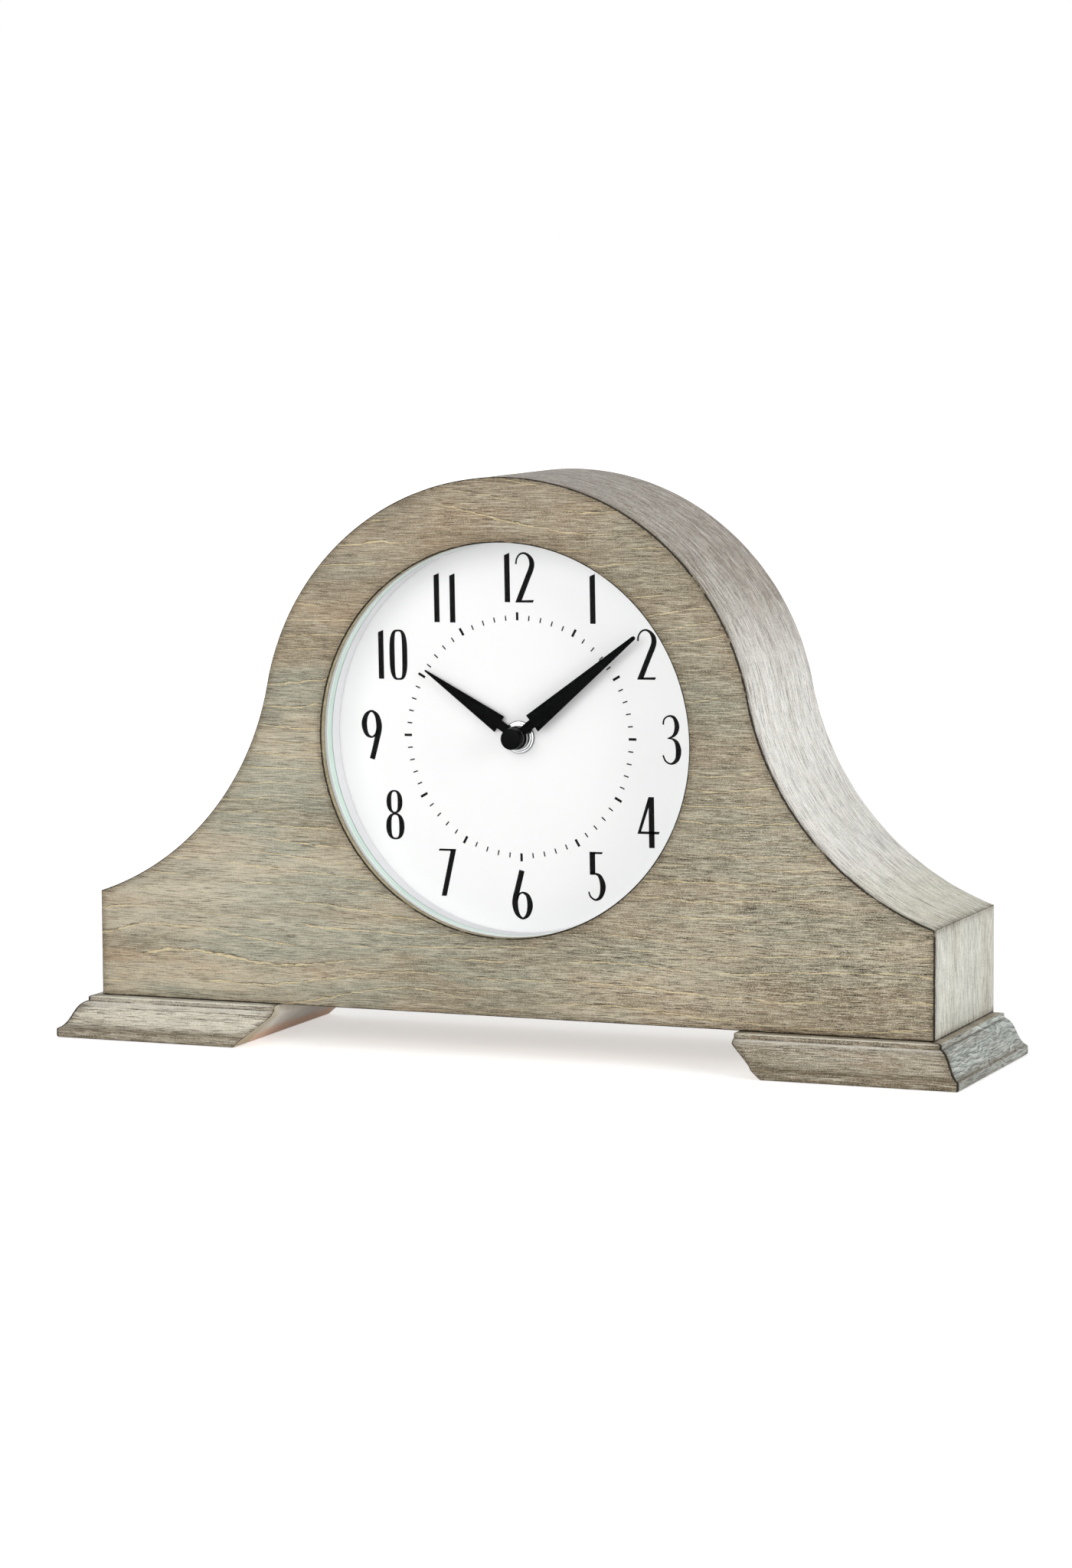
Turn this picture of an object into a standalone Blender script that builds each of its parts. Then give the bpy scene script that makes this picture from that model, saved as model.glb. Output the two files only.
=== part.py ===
"""Tambour mantel clock with a glazed dial and a quartz movement.

Units are metres, +Z is up, the dial faces -Y and +X is to the viewer's right.
The origin lies on the surface that the feet stand on, under the middle of the
clock's overall width and depth. Depths are counted from the case's front face.
"""
import math

import bmesh
import bpy
from mathutils import Vector
from mathutils.geometry import interpolate_bezier

# Clearances
GAP = 0.0003              # between pieces that touch
MITRE_GAP = 0.0004        # between the bent band and an end panel, measured upright
RUNNING_GAP = 0.0003      # between a turning piece and what carries it
PIN_GAP = 0.0001          # between a hinge pin and its knuckles

# Case outline
BODY_WIDTH = 0.400
BODY_DEPTH = 0.090
SHOULDER_HEIGHT = 0.0482  # of the case's upright ends, above the feet
ARCH_RADIUS = 0.1169
ARCH_RISE = 0.1235        # centre of the arch above the feet
SWEEP_RADIUS = 0.129      # of the hollow curves between arch and shoulders

# Segments of round shapes, and the largest angle in degrees that is shaded as round
ARCH_SEGMENTS = 36
SWEEP_SEGMENTS = 12
CLEAT_SEGMENTS = 8
OPENING_SEGMENTS = 72
OGEE_SEGMENTS = 10
CORNER_SEGMENTS = 3
SCREW_SEGMENTS = 8
PIVOT_SEGMENTS = 10
PIN_SEGMENTS = 12
SHAFT_SEGMENTS = 16
PIPE_SEGMENTS = 20
BUSH_SEGMENTS = 24
HUB_SEGMENTS = 28
KNOB_SEGMENTS = 6
TIP_SEGMENTS = 6
SMOOTH_ANGLE = 40
SCREW_SMOOTH_ANGLE = 50

# Case boards
FRONT_THICKNESS = 0.012
FACE_LAYER = 0.0015       # front board's face, which covers the edges of the other boards
EDGE_CHAMFER = 0.0005
BAND_THICKNESS = 0.0055
END_THICKNESS = 0.009
BOTTOM_THICKNESS = 0.009
BACK_THICKNESS = 0.006
BACK_RECESS = 0.008       # from the case's rear edge to the back panel
BLOCK_SIZE = 0.012        # legs of the three-cornered glue blocks
BLOCK_LENGTH = 0.110
BLOCK_OFFSET = 0.115      # middle of a glue block from the clock's middle
CLEAT_SIZE = 0.010
SIDE_CLEAT_HEIGHT = 0.030
BOTTOM_CLEAT_LENGTH = 0.300
ARCH_CLEAT_LENGTH = 0.060

# Feet
FOOT_HEIGHT = 0.0185
LEDGE = 0.0049            # flat step on top of the moulding
FILLET = 0.0024           # upright band under the step
BEAD_PROJECTION = 0.0159
BEAD_HEIGHT = 0.0044
BEAD_EDGE = 0.0009        # rounding of the bead's corners
OGEE_FULLNESS = 0.0057    # reach of the moulding's hollow and round from its ends
OGEE_DROP = 0.0014        # fall of the round where it starts
OGEE_TOE = 0.0025         # rise of the hollow where it ends
FOOT_INSET = 0.0895       # from the case's end to the foot's inner end, at the top
FOOT_CUT_STEP = 0.0044    # upright part of the inner end
FOOT_CUT_RUN = 0.016      # how far the inner end slants back towards the outside

# Glass and dial
FACE_MARGIN = 0.0289      # wood between the opening and the arch
LIP_DEPTH = 0.004
LENS_THICKNESS = 0.0022
LENS_LAP = 0.003          # how far the glass reaches behind the lip
DIAL_DEPTH = 0.0203       # dial face behind the case's front face
DIAL_THICKNESS = 0.002
DIAL_RIM = 0.012          # dial beyond the opening
DIAL_SCREW_LAP = 0.0078   # dial screws beyond the opening
DIAL_SCREW_COUNT = 4

# Dial screws
SCREW_SHANK = 0.0014      # radius
SCREW_POINT = 0.0006
SCREW_HEAD = 0.0028
SCREW_HEAD_TOP = 0.0022
SCREW_HEAD_HEIGHT = 0.0016
SCREW_BITE = 0.005

# Back door
DOOR_WIDTH = 0.120
DOOR_HEIGHT = 0.110
DOOR_DROP = 0.005         # middle of the door below the hands' axis
DOOR_CLEARANCE = 0.001
DOOR_CORNER = 0.006
HINGE_INSET = 0.020       # from the door's top or bottom to a hinge's middle
LEAF_HEIGHT = 0.020
LEAF_WIDTH = 0.009
LEAF_THICKNESS = 0.0008
LEAF_LAP = 0.0006         # of a leaf and the tabs of its knuckles
KNUCKLE_RADIUS = 0.002
PIN_RADIUS = 0.0009
PIN_HEAD_RADIUS = 0.0016
KNOB_RADIUS = 0.005
KNOB_WAIST = 0.0028
KNOB_LENGTH = 0.0068
KNOB_HEAD = 0.0048        # length of the knob's round part
KNOB_SPIGOT = 0.0016
KNOB_SPIGOT_LENGTH = 0.004
KNOB_INSET = 0.012        # from the door's free edge
CATCH_HEIGHT = 0.014
CATCH_DEPTH = 0.0075
CATCH_BASE = 0.012
CATCH_REACH = 0.007       # over the door
STRIKE_THICKNESS = 0.0008
STRIKE_WIDTH = 0.005

# Hands
BUSH_RADIUS = 0.004
PIPE_RADIUS = 0.0026
PIPE_WALL = 0.0007
ARBOR_RADIUS = 0.0013
NUT_RADIUS = 0.0073
NUT_THICKNESS = 0.0011
HAND_THICKNESS = 0.0005
HOUR_HAND_STANDOFF = 0.0021    # hands' middles in front of the dial
MINUTE_HAND_STANDOFF = 0.0058
HAND_CAP_STANDOFF = 0.0110     # front of the cap in front of the dial
HAND_CAP_RADIUS = 0.00475
HAND_CAP_WALL = 0.0019         # front of the cap, before the arbor's tip
COLLET_RADIUS = 0.0054
COLLET_THICKNESS = 0.0016
MINUTE_TIP_MARGIN = 0.014      # tip of the minute hand to the opening's edge
HOUR_TIP_MARGIN = 0.0346
MINUTE_SHOULDER = 0.011        # from the axis to the step in the hand
HOUR_SHOULDER = 0.0105
HAND_EYE_RADIUS = 0.005
HAND_NECK_WIDTH = 0.0041
MINUTE_WIDTH = 0.009
HOUR_WIDTH = 0.0084
MINUTE_TIP_WIDTH = 0.0018
HOUR_TIP_WIDTH = 0.0007
MINUTE_ANGLE = 50.9            # degrees clockwise from twelve
HOUR_ANGLE = 302.8

# Movement case
MOVEMENT_SIZE = 0.056
MOVEMENT_DEPTH = 0.017
MOVEMENT_WALL = 0.0015
BAY_PARTITION = 0.001      # between the battery and the wheels
MOVEMENT_CORNER = 0.004
GASKET_THICKNESS = 0.001
GASKET_RADIUS = 0.010
BATTERY_RADIUS = 0.00715
BATTERY_LENGTH = 0.049
BATTERY_NUB_RADIUS = 0.0026
BATTERY_NUB_LENGTH = 0.0014
CONTACT_THICKNESS = 0.0004
CONTACT_WIDTH = 0.008
SPRING_TRAVEL = 0.0014
PIVOT_RADIUS = 0.0005
PIVOT_BOSS = 0.0013
PIVOT_BOSS_HEIGHT = 0.0009

# Wheels
WHEEL_THICKNESS = 0.001
LAYER_PITCH = 0.0016       # from one layer of wheels to the next
HOUR_LAYER = 0
CANNON_LAYER = 1
CENTRE_LAYER = 2
THIRD_LAYER = 3
SECOND_LAYER = 4
INTERMEDIATE_LAYER = 5
TRAIN_MODULE = 0.00041
ROTOR_MODULE = 0.00034
MOTION_CENTRES = 0.008     # minute arbor to motion wheel
ADDENDUM = 0.75            # tooth proportions, in modules and in pitches
DEDENDUM = 1.25
TOOTH_TIP = 0.25
TOOTH_ROOT = 0.5
CANNON_TEETH = 8
MOTION_TEETH = 24
MOTION_PINION_TEETH = 7
HOUR_TEETH = 28
SETTING_TEETH = 8
CENTRE_TEETH = 48
THIRD_TEETH = 45
SECOND_TEETH = 30
INTERMEDIATE_TEETH = 36
PINION_TEETH = 6
MOTION_BEARING = -20.0     # direction from one axis to the next, degrees from +X
SETTING_BEARING = 45.0
THIRD_BEARING = 150.0
SECOND_BEARING = 100.0
INTERMEDIATE_BEARING = 0.0
ROTOR_BEARING = -20.0
SETTING_SHAFT_RADIUS = 0.0012
SETTING_KNOB_RADIUS = 0.0045
SETTING_KNOB_HEIGHT = 0.0035
SETTING_KNOB_RIBS = 14
SETTING_KNOB_RIB_DEPTH = 0.0004

# Motor and circuit
MAGNET_RADIUS = 0.0024
MAGNET_HEIGHT = 0.002
MAGNET_AIR_GAP = 0.0006
STATOR_THICKNESS = 0.001
STATOR_HALF_HEIGHT = 0.0075
STATOR_SLOT_HALF = 0.004
STATOR_HEEL = 0.0052       # stator beyond the magnet's axis, to the slot
STATOR_NOSE = 0.0037       # and on its other side
COIL_DISTANCE = 0.0187     # from the rotor's axis to the coil
CORE_WIDTH = 0.003
CORE_THICKNESS = 0.001
BOBBIN_RADIUS = 0.0031
BOBBIN_TUBE_RADIUS = 0.0022
BOBBIN_FLANGE = 0.0006
WINDING_DEPTH = 0.0006
BOARD_THICKNESS = 0.0008
BOARD_WIDTH = 0.0215
BOARD_HEIGHT = 0.0125
BOARD_RISE = -0.0033       # middle of the circuit board against the hands' axis
CRYSTAL_RADIUS = 0.001
CRYSTAL_LENGTH = 0.006

# Derived planes and heights
OVERALL_DEPTH = BODY_DEPTH + BEAD_PROJECTION
FRONT_Y = BEAD_PROJECTION - OVERALL_DEPTH / 2
CASE_BOTTOM = FOOT_HEIGHT
AXIS_Z = FOOT_HEIGHT + ARCH_RISE
HALF_WIDTH = BODY_WIDTH / 2
SHOULDER_Z = FOOT_HEIGHT + SHOULDER_HEIGHT
OPENING_RADIUS = ARCH_RADIUS - FACE_MARGIN
LENS_RADIUS = OPENING_RADIUS + LENS_LAP
REBATE_RADIUS = LENS_RADIUS + GAP
DIAL_RADIUS = OPENING_RADIUS + DIAL_RIM
BAND_FRONT = FACE_LAYER + GAP
BACK_FACE = BODY_DEPTH - BACK_RECESS
BACK_INNER = BACK_FACE - BACK_THICKNESS
DIAL_BACK = DIAL_DEPTH + DIAL_THICKNESS
GASKET_FRONT = DIAL_BACK + GAP
MOVEMENT_FRONT = GASKET_FRONT + GASKET_THICKNESS + GAP
MOVEMENT_BACK = MOVEMENT_FRONT + MOVEMENT_DEPTH
PLATE_BACK = MOVEMENT_FRONT + MOVEMENT_WALL
REAR_WALL = MOVEMENT_BACK - MOVEMENT_WALL
MOVEMENT_HALF = MOVEMENT_SIZE / 2
BAY_HALF_HEIGHT = BATTERY_RADIUS + GAP
BAY_CENTRE = AXIS_Z - MOVEMENT_HALF + MOVEMENT_WALL + BAY_HALF_HEIGHT
BAY_TOP = BAY_CENTRE + BAY_HALF_HEIGHT
BATTERY_CENTRE_DEPTH = PLATE_BACK + GAP + BATTERY_RADIUS
MOTION_MODULE = 2 * MOTION_CENTRES / (CANNON_TEETH + MOTION_TEETH)
HOUR_MODULE = 2 * MOTION_CENTRES / (MOTION_PINION_TEETH + HOUR_TEETH)
NUT_FRONT = DIAL_DEPTH - GAP - NUT_THICKNESS
HOUR_PLANE = DIAL_DEPTH - HOUR_HAND_STANDOFF
MINUTE_PLANE = DIAL_DEPTH - MINUTE_HAND_STANDOFF
COLLET_BACK = HOUR_PLANE - HAND_THICKNESS / 2 - GAP
COLLET_FRONT = COLLET_BACK - COLLET_THICKNESS
CAP_BACK = MINUTE_PLANE - HAND_THICKNESS / 2 - GAP
CAP_FRONT = DIAL_DEPTH - HAND_CAP_STANDOFF
CAP_BORE_END = CAP_FRONT + HAND_CAP_WALL
PIVOT_START = PLATE_BACK + GAP
PIVOT_END = REAR_WALL - GAP


def layer(index):
    """Front and back depth of one layer of wheels inside the movement."""
    front = PLATE_BACK + RUNNING_GAP + index * LAYER_PITCH
    return front, front + WHEEL_THICKNESS


def at(depth):
    """World Y of a depth behind the case's front face."""
    return FRONT_Y + depth


def step_from(point, bearing, distance):
    """A point at a distance from another, in a direction given in degrees."""
    angle = math.radians(bearing)
    return (point[0] + distance * math.cos(angle), point[1] + distance * math.sin(angle))


AXIS = (0.0, AXIS_Z)
MOTION_AXIS = step_from(AXIS, MOTION_BEARING, MOTION_CENTRES)
SETTING_CENTRES = MOTION_MODULE * (MOTION_TEETH + SETTING_TEETH) / 2
SETTING_AXIS = step_from(MOTION_AXIS, SETTING_BEARING, SETTING_CENTRES)
THIRD_AXIS = step_from(AXIS, THIRD_BEARING, TRAIN_MODULE * (CENTRE_TEETH + PINION_TEETH) / 2)
SECOND_AXIS = step_from(THIRD_AXIS, SECOND_BEARING, TRAIN_MODULE * (THIRD_TEETH + PINION_TEETH) / 2)
INTERMEDIATE_AXIS = step_from(
    SECOND_AXIS, INTERMEDIATE_BEARING, TRAIN_MODULE * (SECOND_TEETH + PINION_TEETH) / 2)
ROTOR_AXIS = step_from(
    INTERMEDIATE_AXIS, ROTOR_BEARING, ROTOR_MODULE * (INTERMEDIATE_TEETH + PINION_TEETH) / 2)
MAGNET_FRONT = layer(INTERMEDIATE_LAYER)[1] + GAP


# Materials: colour, roughness, metallic, alpha
FINISHES = {
    "grey_washed_wood": ((0.37, 0.34, 0.26), 0.55, 0.0, 1.0),
    "inner_wood": ((0.50, 0.38, 0.24), 0.70, 0.0, 1.0),
    "fibreboard": ((0.30, 0.22, 0.14), 0.80, 0.0, 1.0),
    "glass": ((0.92, 0.97, 0.95), 0.03, 0.0, 0.35),
    "pale_green": ((0.66, 0.80, 0.72), 0.20, 0.0, 1.0),
    "white_card": ((0.88, 0.88, 0.88), 0.50, 0.0, 1.0),
    "black_paint": ((0.012, 0.012, 0.012), 0.45, 0.0, 1.0),
    "bright_metal": ((0.75, 0.75, 0.75), 0.20, 1.0, 1.0),
    "steel": ((0.55, 0.55, 0.56), 0.35, 1.0, 1.0),
    "brass": ((0.70, 0.50, 0.20), 0.30, 1.0, 1.0),
    "black_plastic": ((0.02, 0.02, 0.02), 0.50, 0.0, 1.0),
    "white_plastic": ((0.80, 0.80, 0.78), 0.45, 0.0, 1.0),
    "bonded_magnet": ((0.08, 0.08, 0.085), 0.55, 0.0, 1.0),
    "rubber": ((0.03, 0.03, 0.03), 0.80, 0.0, 1.0),
    "copper": ((0.72, 0.30, 0.12), 0.35, 1.0, 1.0),
    "circuit_green": ((0.03, 0.18, 0.06), 0.50, 0.0, 1.0),
    "battery_jacket": ((0.10, 0.10, 0.11), 0.35, 0.0, 1.0),
}


def finish(name):
    """The material of that name, made on first use."""
    material = bpy.data.materials.get(name)
    if material:
        return material
    colour, roughness, metallic, alpha = FINISHES[name]
    material = bpy.data.materials.new(name)
    material.use_nodes = True
    shader = material.node_tree.nodes["Principled BSDF"]
    shader.inputs["Base Color"].default_value = (*colour, 1.0)
    shader.inputs["Roughness"].default_value = roughness
    shader.inputs["Metallic"].default_value = metallic
    shader.inputs["Alpha"].default_value = alpha
    return material


def add_object(name, bm, material, location=(0.0, 0.0, 0.0), smooth_angle=SMOOTH_ANGLE):
    """Turn a bmesh into a named object, with its faces pointing out."""
    bmesh.ops.recalc_face_normals(bm, faces=bm.faces)
    mesh = bpy.data.meshes.new(name)
    bm.to_mesh(mesh)
    bm.free()
    mesh.materials.append(finish(material))
    mesh.shade_smooth()
    mesh.set_sharp_from_angle(angle=math.radians(smooth_angle))
    piece = bpy.data.objects.new(name, mesh)
    piece.location = location
    bpy.context.collection.objects.link(piece)
    return piece


def loft(bm, rings, closed=False):
    """Join rings of equally many points by quads; cap the ends, or close the row of rings."""
    rows = [[bm.verts.new(point) for point in ring] for ring in rings]
    count = len(rows[0])
    pairs = list(zip(rows, rows[1:]))
    if closed:
        pairs.append((rows[-1], rows[0]))
    for low, high in pairs:
        for i in range(count):
            j = (i + 1) % count
            bm.faces.new((low[i], low[j], high[j], high[i]))
    if not closed:
        bm.faces.new(rows[0])
        bm.faces.new(rows[-1])


def circle(radius, segments, centre=(0.0, 0.0)):
    """Points of a circle in a plane."""
    turns = [2 * math.pi * i / segments for i in range(segments)]
    return [(centre[0] + radius * math.cos(a), centre[1] + radius * math.sin(a)) for a in turns]


def prism(bm, outline, front, back):
    """Extrude an outline of (x, z) points between two depths."""
    loft(bm, [[(x, at(depth), z) for x, z in outline] for depth in (front, back)])


def plank(bm, low, high):
    """A box between two corners, each (x, depth, z)."""
    outline = [(low[0], low[2]), (high[0], low[2]), (high[0], high[2]), (low[0], high[2])]
    prism(bm, outline, low[1], high[1])


def turned(bm, profile, centre, segments):
    """Revolve (radius, depth) points about an axis along Y.

    A profile with a radius at both ends is a closed loop, which makes a ring. One that
    starts and ends at no radius makes a solid piece.
    """
    solid = profile[0][0] == 0.0
    points = profile[1:-1] if solid else profile
    rings = []
    for radius, depth in points:
        flat = circle(radius, segments, centre)
        rings.append([(x, at(depth), z) for x, z in flat])
    loft(bm, rings, closed=not solid)


def cylinder(bm, radius, front, back, centre, segments):
    """A cylinder along Y."""
    turned(bm, [(0.0, front), (radius, front), (radius, back), (0.0, back)], centre, segments)


def piece(name, material, build, axis=None, smooth_angle=SMOOTH_ANGLE):
    """A named object made by a build function, with its origin on an axis if it has one."""
    bm = bmesh.new()
    build(bm)
    location = Vector((0.0, 0.0, 0.0))
    if axis:
        location = Vector((axis[0], at(DIAL_DEPTH), axis[1]))
        bmesh.ops.translate(bm, verts=bm.verts, vec=-location)
    return add_object(name, bm, material, location, smooth_angle)


def cutter(name, build):
    """A guide that only cuts: it isn't rendered and isn't a piece of the clock."""
    bm = bmesh.new()
    build(bm)
    guide = add_object(name, bm, "inner_wood")
    guide.hide_render = True
    guide.display_type = "WIRE"
    return guide


def combine(target, other, operation):
    """Add a Boolean modifier."""
    modifier = target.modifiers.new(other.name, "BOOLEAN")
    modifier.operation = operation
    modifier.solver = "EXACT"
    modifier.object = other


def cut(target, name, build):
    """Cut a shape out of a piece."""
    combine(target, cutter(name, build), "DIFFERENCE")


def fuse(target, name, build):
    """Add a shape to a piece, as one solid."""
    combine(target, cutter(name, build), "UNION")


def arc(centre, radius, start, end, segments):
    """Points of an arc between two angles in radians, ends included."""
    angles = [start + (end - start) * i / segments for i in range(segments + 1)]
    return [(centre[0] + radius * math.cos(a), centre[1] + radius * math.sin(a)) for a in angles]


def sweep_centre():
    """Centre of the right-hand hollow curve, touching the arch and meeting the shoulder."""
    across = HALF_WIDTH
    down = AXIS_Z - SHOULDER_Z
    reach = math.hypot(across, down)
    centres = ARCH_RADIUS + SWEEP_RADIUS
    cosine = (reach ** 2 + centres ** 2 - SWEEP_RADIUS ** 2) / (2 * reach * centres)
    angle = math.acos(cosine) - math.atan2(down, across)
    return angle, (centres * math.cos(angle), AXIS_Z + centres * math.sin(angle))


def crown(inset, end_inset):
    """The case's upper outline from right shoulder to left, drawn in by an inset."""
    tangent, centre = sweep_centre()
    radius = SWEEP_RADIUS + inset
    edge = HALF_WIDTH - end_inset
    start = -math.pi + math.acos((centre[0] - edge) / radius)
    end = tangent - math.pi
    hollow = arc(centre, radius, start, end, SWEEP_SEGMENTS)
    dome = arc(AXIS, ARCH_RADIUS - inset, tangent, math.pi - tangent, ARCH_SEGMENTS)
    mirrored = [(-x, z) for x, z in reversed(hollow)]
    return hollow[:-1] + dome + mirrored[1:]


def case_outline(inset, end_inset, bottom_inset):
    """Closed outline of a board that fills the case, drawn in from its three sides."""
    edge = HALF_WIDTH - end_inset
    bottom = CASE_BOTTOM + bottom_inset
    return [(-edge, bottom), (edge, bottom)] + crown(inset, end_inset)


def dial_screw_places():
    """Centres of the screws that hold the dial."""
    radius = OPENING_RADIUS + DIAL_SCREW_LAP
    turn = 2 * math.pi / DIAL_SCREW_COUNT
    return [(radius * math.cos(turn * (i + 0.5)), AXIS_Z + radius * math.sin(turn * (i + 0.5)))
            for i in range(DIAL_SCREW_COUNT)]


def screw_holes(places, radius, front, back):
    """A build function for round holes along Y."""
    def build(bm):
        for place in places:
            cylinder(bm, radius, front, back, place, SCREW_SEGMENTS)
    return build


def upright_cylinder(bm, radius, low, high, centre):
    """A cylinder along Z about (x, depth)."""
    flat = circle(radius, PIN_SEGMENTS, (centre[0], at(centre[1])))
    loft(bm, [[(x, y, z) for x, y in flat] for z in (low, high)])


def make_front_panel():
    """Front board: face, rebated edges, dial opening with a lip, and screw holes."""
    core_inset = BAND_THICKNESS + GAP
    core_end = END_THICKNESS + GAP
    core_bottom = BOTTOM_THICKNESS + GAP

    def board(bm):
        steps = [
            (case_outline(EDGE_CHAMFER, EDGE_CHAMFER, EDGE_CHAMFER), 0.0),
            (case_outline(0.0, 0.0, 0.0), EDGE_CHAMFER),
            (case_outline(0.0, 0.0, 0.0), FACE_LAYER),
            (case_outline(core_inset, core_end, core_bottom), FACE_LAYER),
            (case_outline(core_inset, core_end, core_bottom), FRONT_THICKNESS),
        ]
        loft(bm, [[(x, at(depth), z) for x, z in outline] for outline, depth in steps])

    def opening(bm):
        beyond = 2 * EDGE_CHAMFER
        profile = [
            (0.0, -beyond),
            (OPENING_RADIUS + EDGE_CHAMFER + beyond, -beyond),
            (OPENING_RADIUS, EDGE_CHAMFER),
            (OPENING_RADIUS, LIP_DEPTH),
            (REBATE_RADIUS, LIP_DEPTH),
            (REBATE_RADIUS, FRONT_THICKNESS + beyond),
            (0.0, FRONT_THICKNESS + beyond),
        ]
        turned(bm, profile, AXIS, OPENING_SEGMENTS)

    front = piece("front_panel", "grey_washed_wood", board)
    cut(front, "opening_cutter", opening)
    bottom_of_hole = FRONT_THICKNESS - SCREW_BITE - GAP
    holes = screw_holes(dial_screw_places(), SCREW_SHANK + GAP, bottom_of_hole, BODY_DEPTH)
    cut(front, "front_screw_cutter", holes)


def make_arch_band():
    """Bent skin from shoulder to shoulder, cut to a mitre at both ends."""
    def band(bm):
        outer = crown(0.0, 0.0)
        inner = crown(BAND_THICKNESS, END_THICKNESS)
        front = at(BAND_FRONT)
        back = at(BODY_DEPTH)
        rings = []
        for (x, z), (u, w) in zip(outer, inner):
            rings.append([(x, front, z), (x, back, z), (u, back, w), (u, front, w)])
        loft(bm, rings)

    piece("arch_band", "grey_washed_wood", band)


def make_end_panels():
    """Upright ends, mitred to the band."""
    outer_top = crown(0.0, 0.0)[0]
    inner_top = crown(BAND_THICKNESS, END_THICKNESS)[0]
    outline = [
        (inner_top[0], CASE_BOTTOM),
        (outer_top[0], CASE_BOTTOM),
        (outer_top[0], outer_top[1] - MITRE_GAP),
        (inner_top[0], inner_top[1] - MITRE_GAP),
    ]
    for name, side in (("left_end_panel", -1), ("right_end_panel", 1)):
        shape = [(side * x, z) for x, z in outline]
        piece(name, "grey_washed_wood", lambda bm, s=shape: prism(bm, s, BAND_FRONT, BODY_DEPTH))


def make_bottom_board():
    """Floor of the case."""
    edge = HALF_WIDTH - END_THICKNESS - GAP
    low = (-edge, BAND_FRONT, CASE_BOTTOM)
    high = (edge, BODY_DEPTH, CASE_BOTTOM + BOTTOM_THICKNESS)
    piece("bottom_board", "inner_wood", lambda bm: plank(bm, low, high))


def foot_profile():
    """(projection, drop) points of the foot's moulding, from its top to the floor."""
    bead_top = FOOT_HEIGHT - BEAD_HEIGHT
    edge = BEAD_EDGE
    start = Vector((LEDGE, FILLET))
    end = Vector((BEAD_PROJECTION - edge, bead_top))
    handle_out = start + Vector((OGEE_FULLNESS, OGEE_DROP))
    handle_in = end - Vector((OGEE_FULLNESS - edge, OGEE_TOE))
    ogee = interpolate_bezier(start, handle_out, handle_in, end, OGEE_SEGMENTS + 1)
    ogee = [(point[0], point[1]) for point in ogee]
    soft = edge * (1 - math.sqrt(0.5))
    upper = [(LEDGE - edge, GAP), (LEDGE - soft, GAP + soft), (LEDGE, GAP + edge)]
    bead = [
        (BEAD_PROJECTION - soft, bead_top + soft),
        (BEAD_PROJECTION, bead_top + edge),
        (BEAD_PROJECTION, FOOT_HEIGHT - edge),
        (BEAD_PROJECTION - soft, FOOT_HEIGHT - soft),
        (BEAD_PROJECTION - edge, FOOT_HEIGHT),
    ]
    return upper + ogee + bead


def make_feet():
    """Moulded feet: ogee on the front and outer sides, plain back, slanted inner end."""
    def cut_back(drop):
        slope = max(0.0, drop - FOOT_CUT_STEP) / (FOOT_HEIGHT - FOOT_CUT_STEP)
        return HALF_WIDTH - FOOT_INSET + FOOT_CUT_RUN * slope

    rows = insert_row(foot_profile(), FOOT_CUT_STEP)
    for name, side in (("left_foot", -1), ("right_foot", 1)):
        rings = []
        for reach, drop in rows:
            inner = side * cut_back(drop)
            outer = side * (HALF_WIDTH + reach)
            front = at(-reach)
            back = at(BODY_DEPTH)
            z = FOOT_HEIGHT - drop
            rings.append([(inner, front, z), (outer, front, z), (outer, back, z), (inner, back, z)])
        piece(name, "grey_washed_wood", lambda bm, r=rings: loft(bm, r))


def insert_row(rows, drop):
    """Add a point to a profile where it passes a given drop."""
    for i, ((reach_a, drop_a), (reach_b, drop_b)) in enumerate(zip(rows, rows[1:])):
        if drop_a < drop < drop_b:
            share = (drop - drop_a) / (drop_b - drop_a)
            return rows[:i + 1] + [(reach_a + share * (reach_b - reach_a), drop)] + rows[i + 1:]
    return rows


def make_blocks():
    """Glue blocks behind the front board, and the cleats that the back panel rests on."""
    floor = CASE_BOTTOM + BOTTOM_THICKNESS + GAP
    front = FRONT_THICKNESS + GAP
    for name, side in (("left_glue_block", -1), ("right_glue_block", 1)):
        start = side * BLOCK_OFFSET - BLOCK_LENGTH / 2
        corner = [(front, floor), (front + BLOCK_SIZE, floor), (front, floor + BLOCK_SIZE)]
        rings = [[(x, at(depth), z) for depth, z in corner] for x in (start, start + BLOCK_LENGTH)]
        piece(name, "inner_wood", lambda bm, r=rings: loft(bm, r))
    near = BACK_INNER - GAP - CLEAT_SIZE
    far = BACK_INNER - GAP
    side_x = HALF_WIDTH - END_THICKNESS - GAP
    for name, side in (("left_cleat", -1), ("right_cleat", 1)):
        xs = sorted((side * side_x, side * (side_x - CLEAT_SIZE)))
        low = (xs[0], near, floor)
        high = (xs[1], far, floor + SIDE_CLEAT_HEIGHT)
        piece(name, "inner_wood", lambda bm, a=low, b=high: plank(bm, a, b))
    half = BOTTOM_CLEAT_LENGTH / 2
    low = (-half, near, floor)
    high = (half, far, floor + CLEAT_SIZE)
    piece("bottom_cleat", "inner_wood", lambda bm: plank(bm, low, high))
    radius = ARCH_RADIUS - BAND_THICKNESS - GAP
    spread = math.asin(ARCH_CLEAT_LENGTH / 2 / radius)
    curve = arc(AXIS, radius, math.pi / 2 - spread, math.pi / 2 + spread, CLEAT_SEGMENTS)
    sill = AXIS_Z + radius * math.cos(spread) - CLEAT_SIZE
    outline = curve + [(-ARCH_CLEAT_LENGTH / 2, sill), (ARCH_CLEAT_LENGTH / 2, sill)]
    piece("arch_cleat", "inner_wood", lambda bm: prism(bm, outline, near, far))


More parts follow.
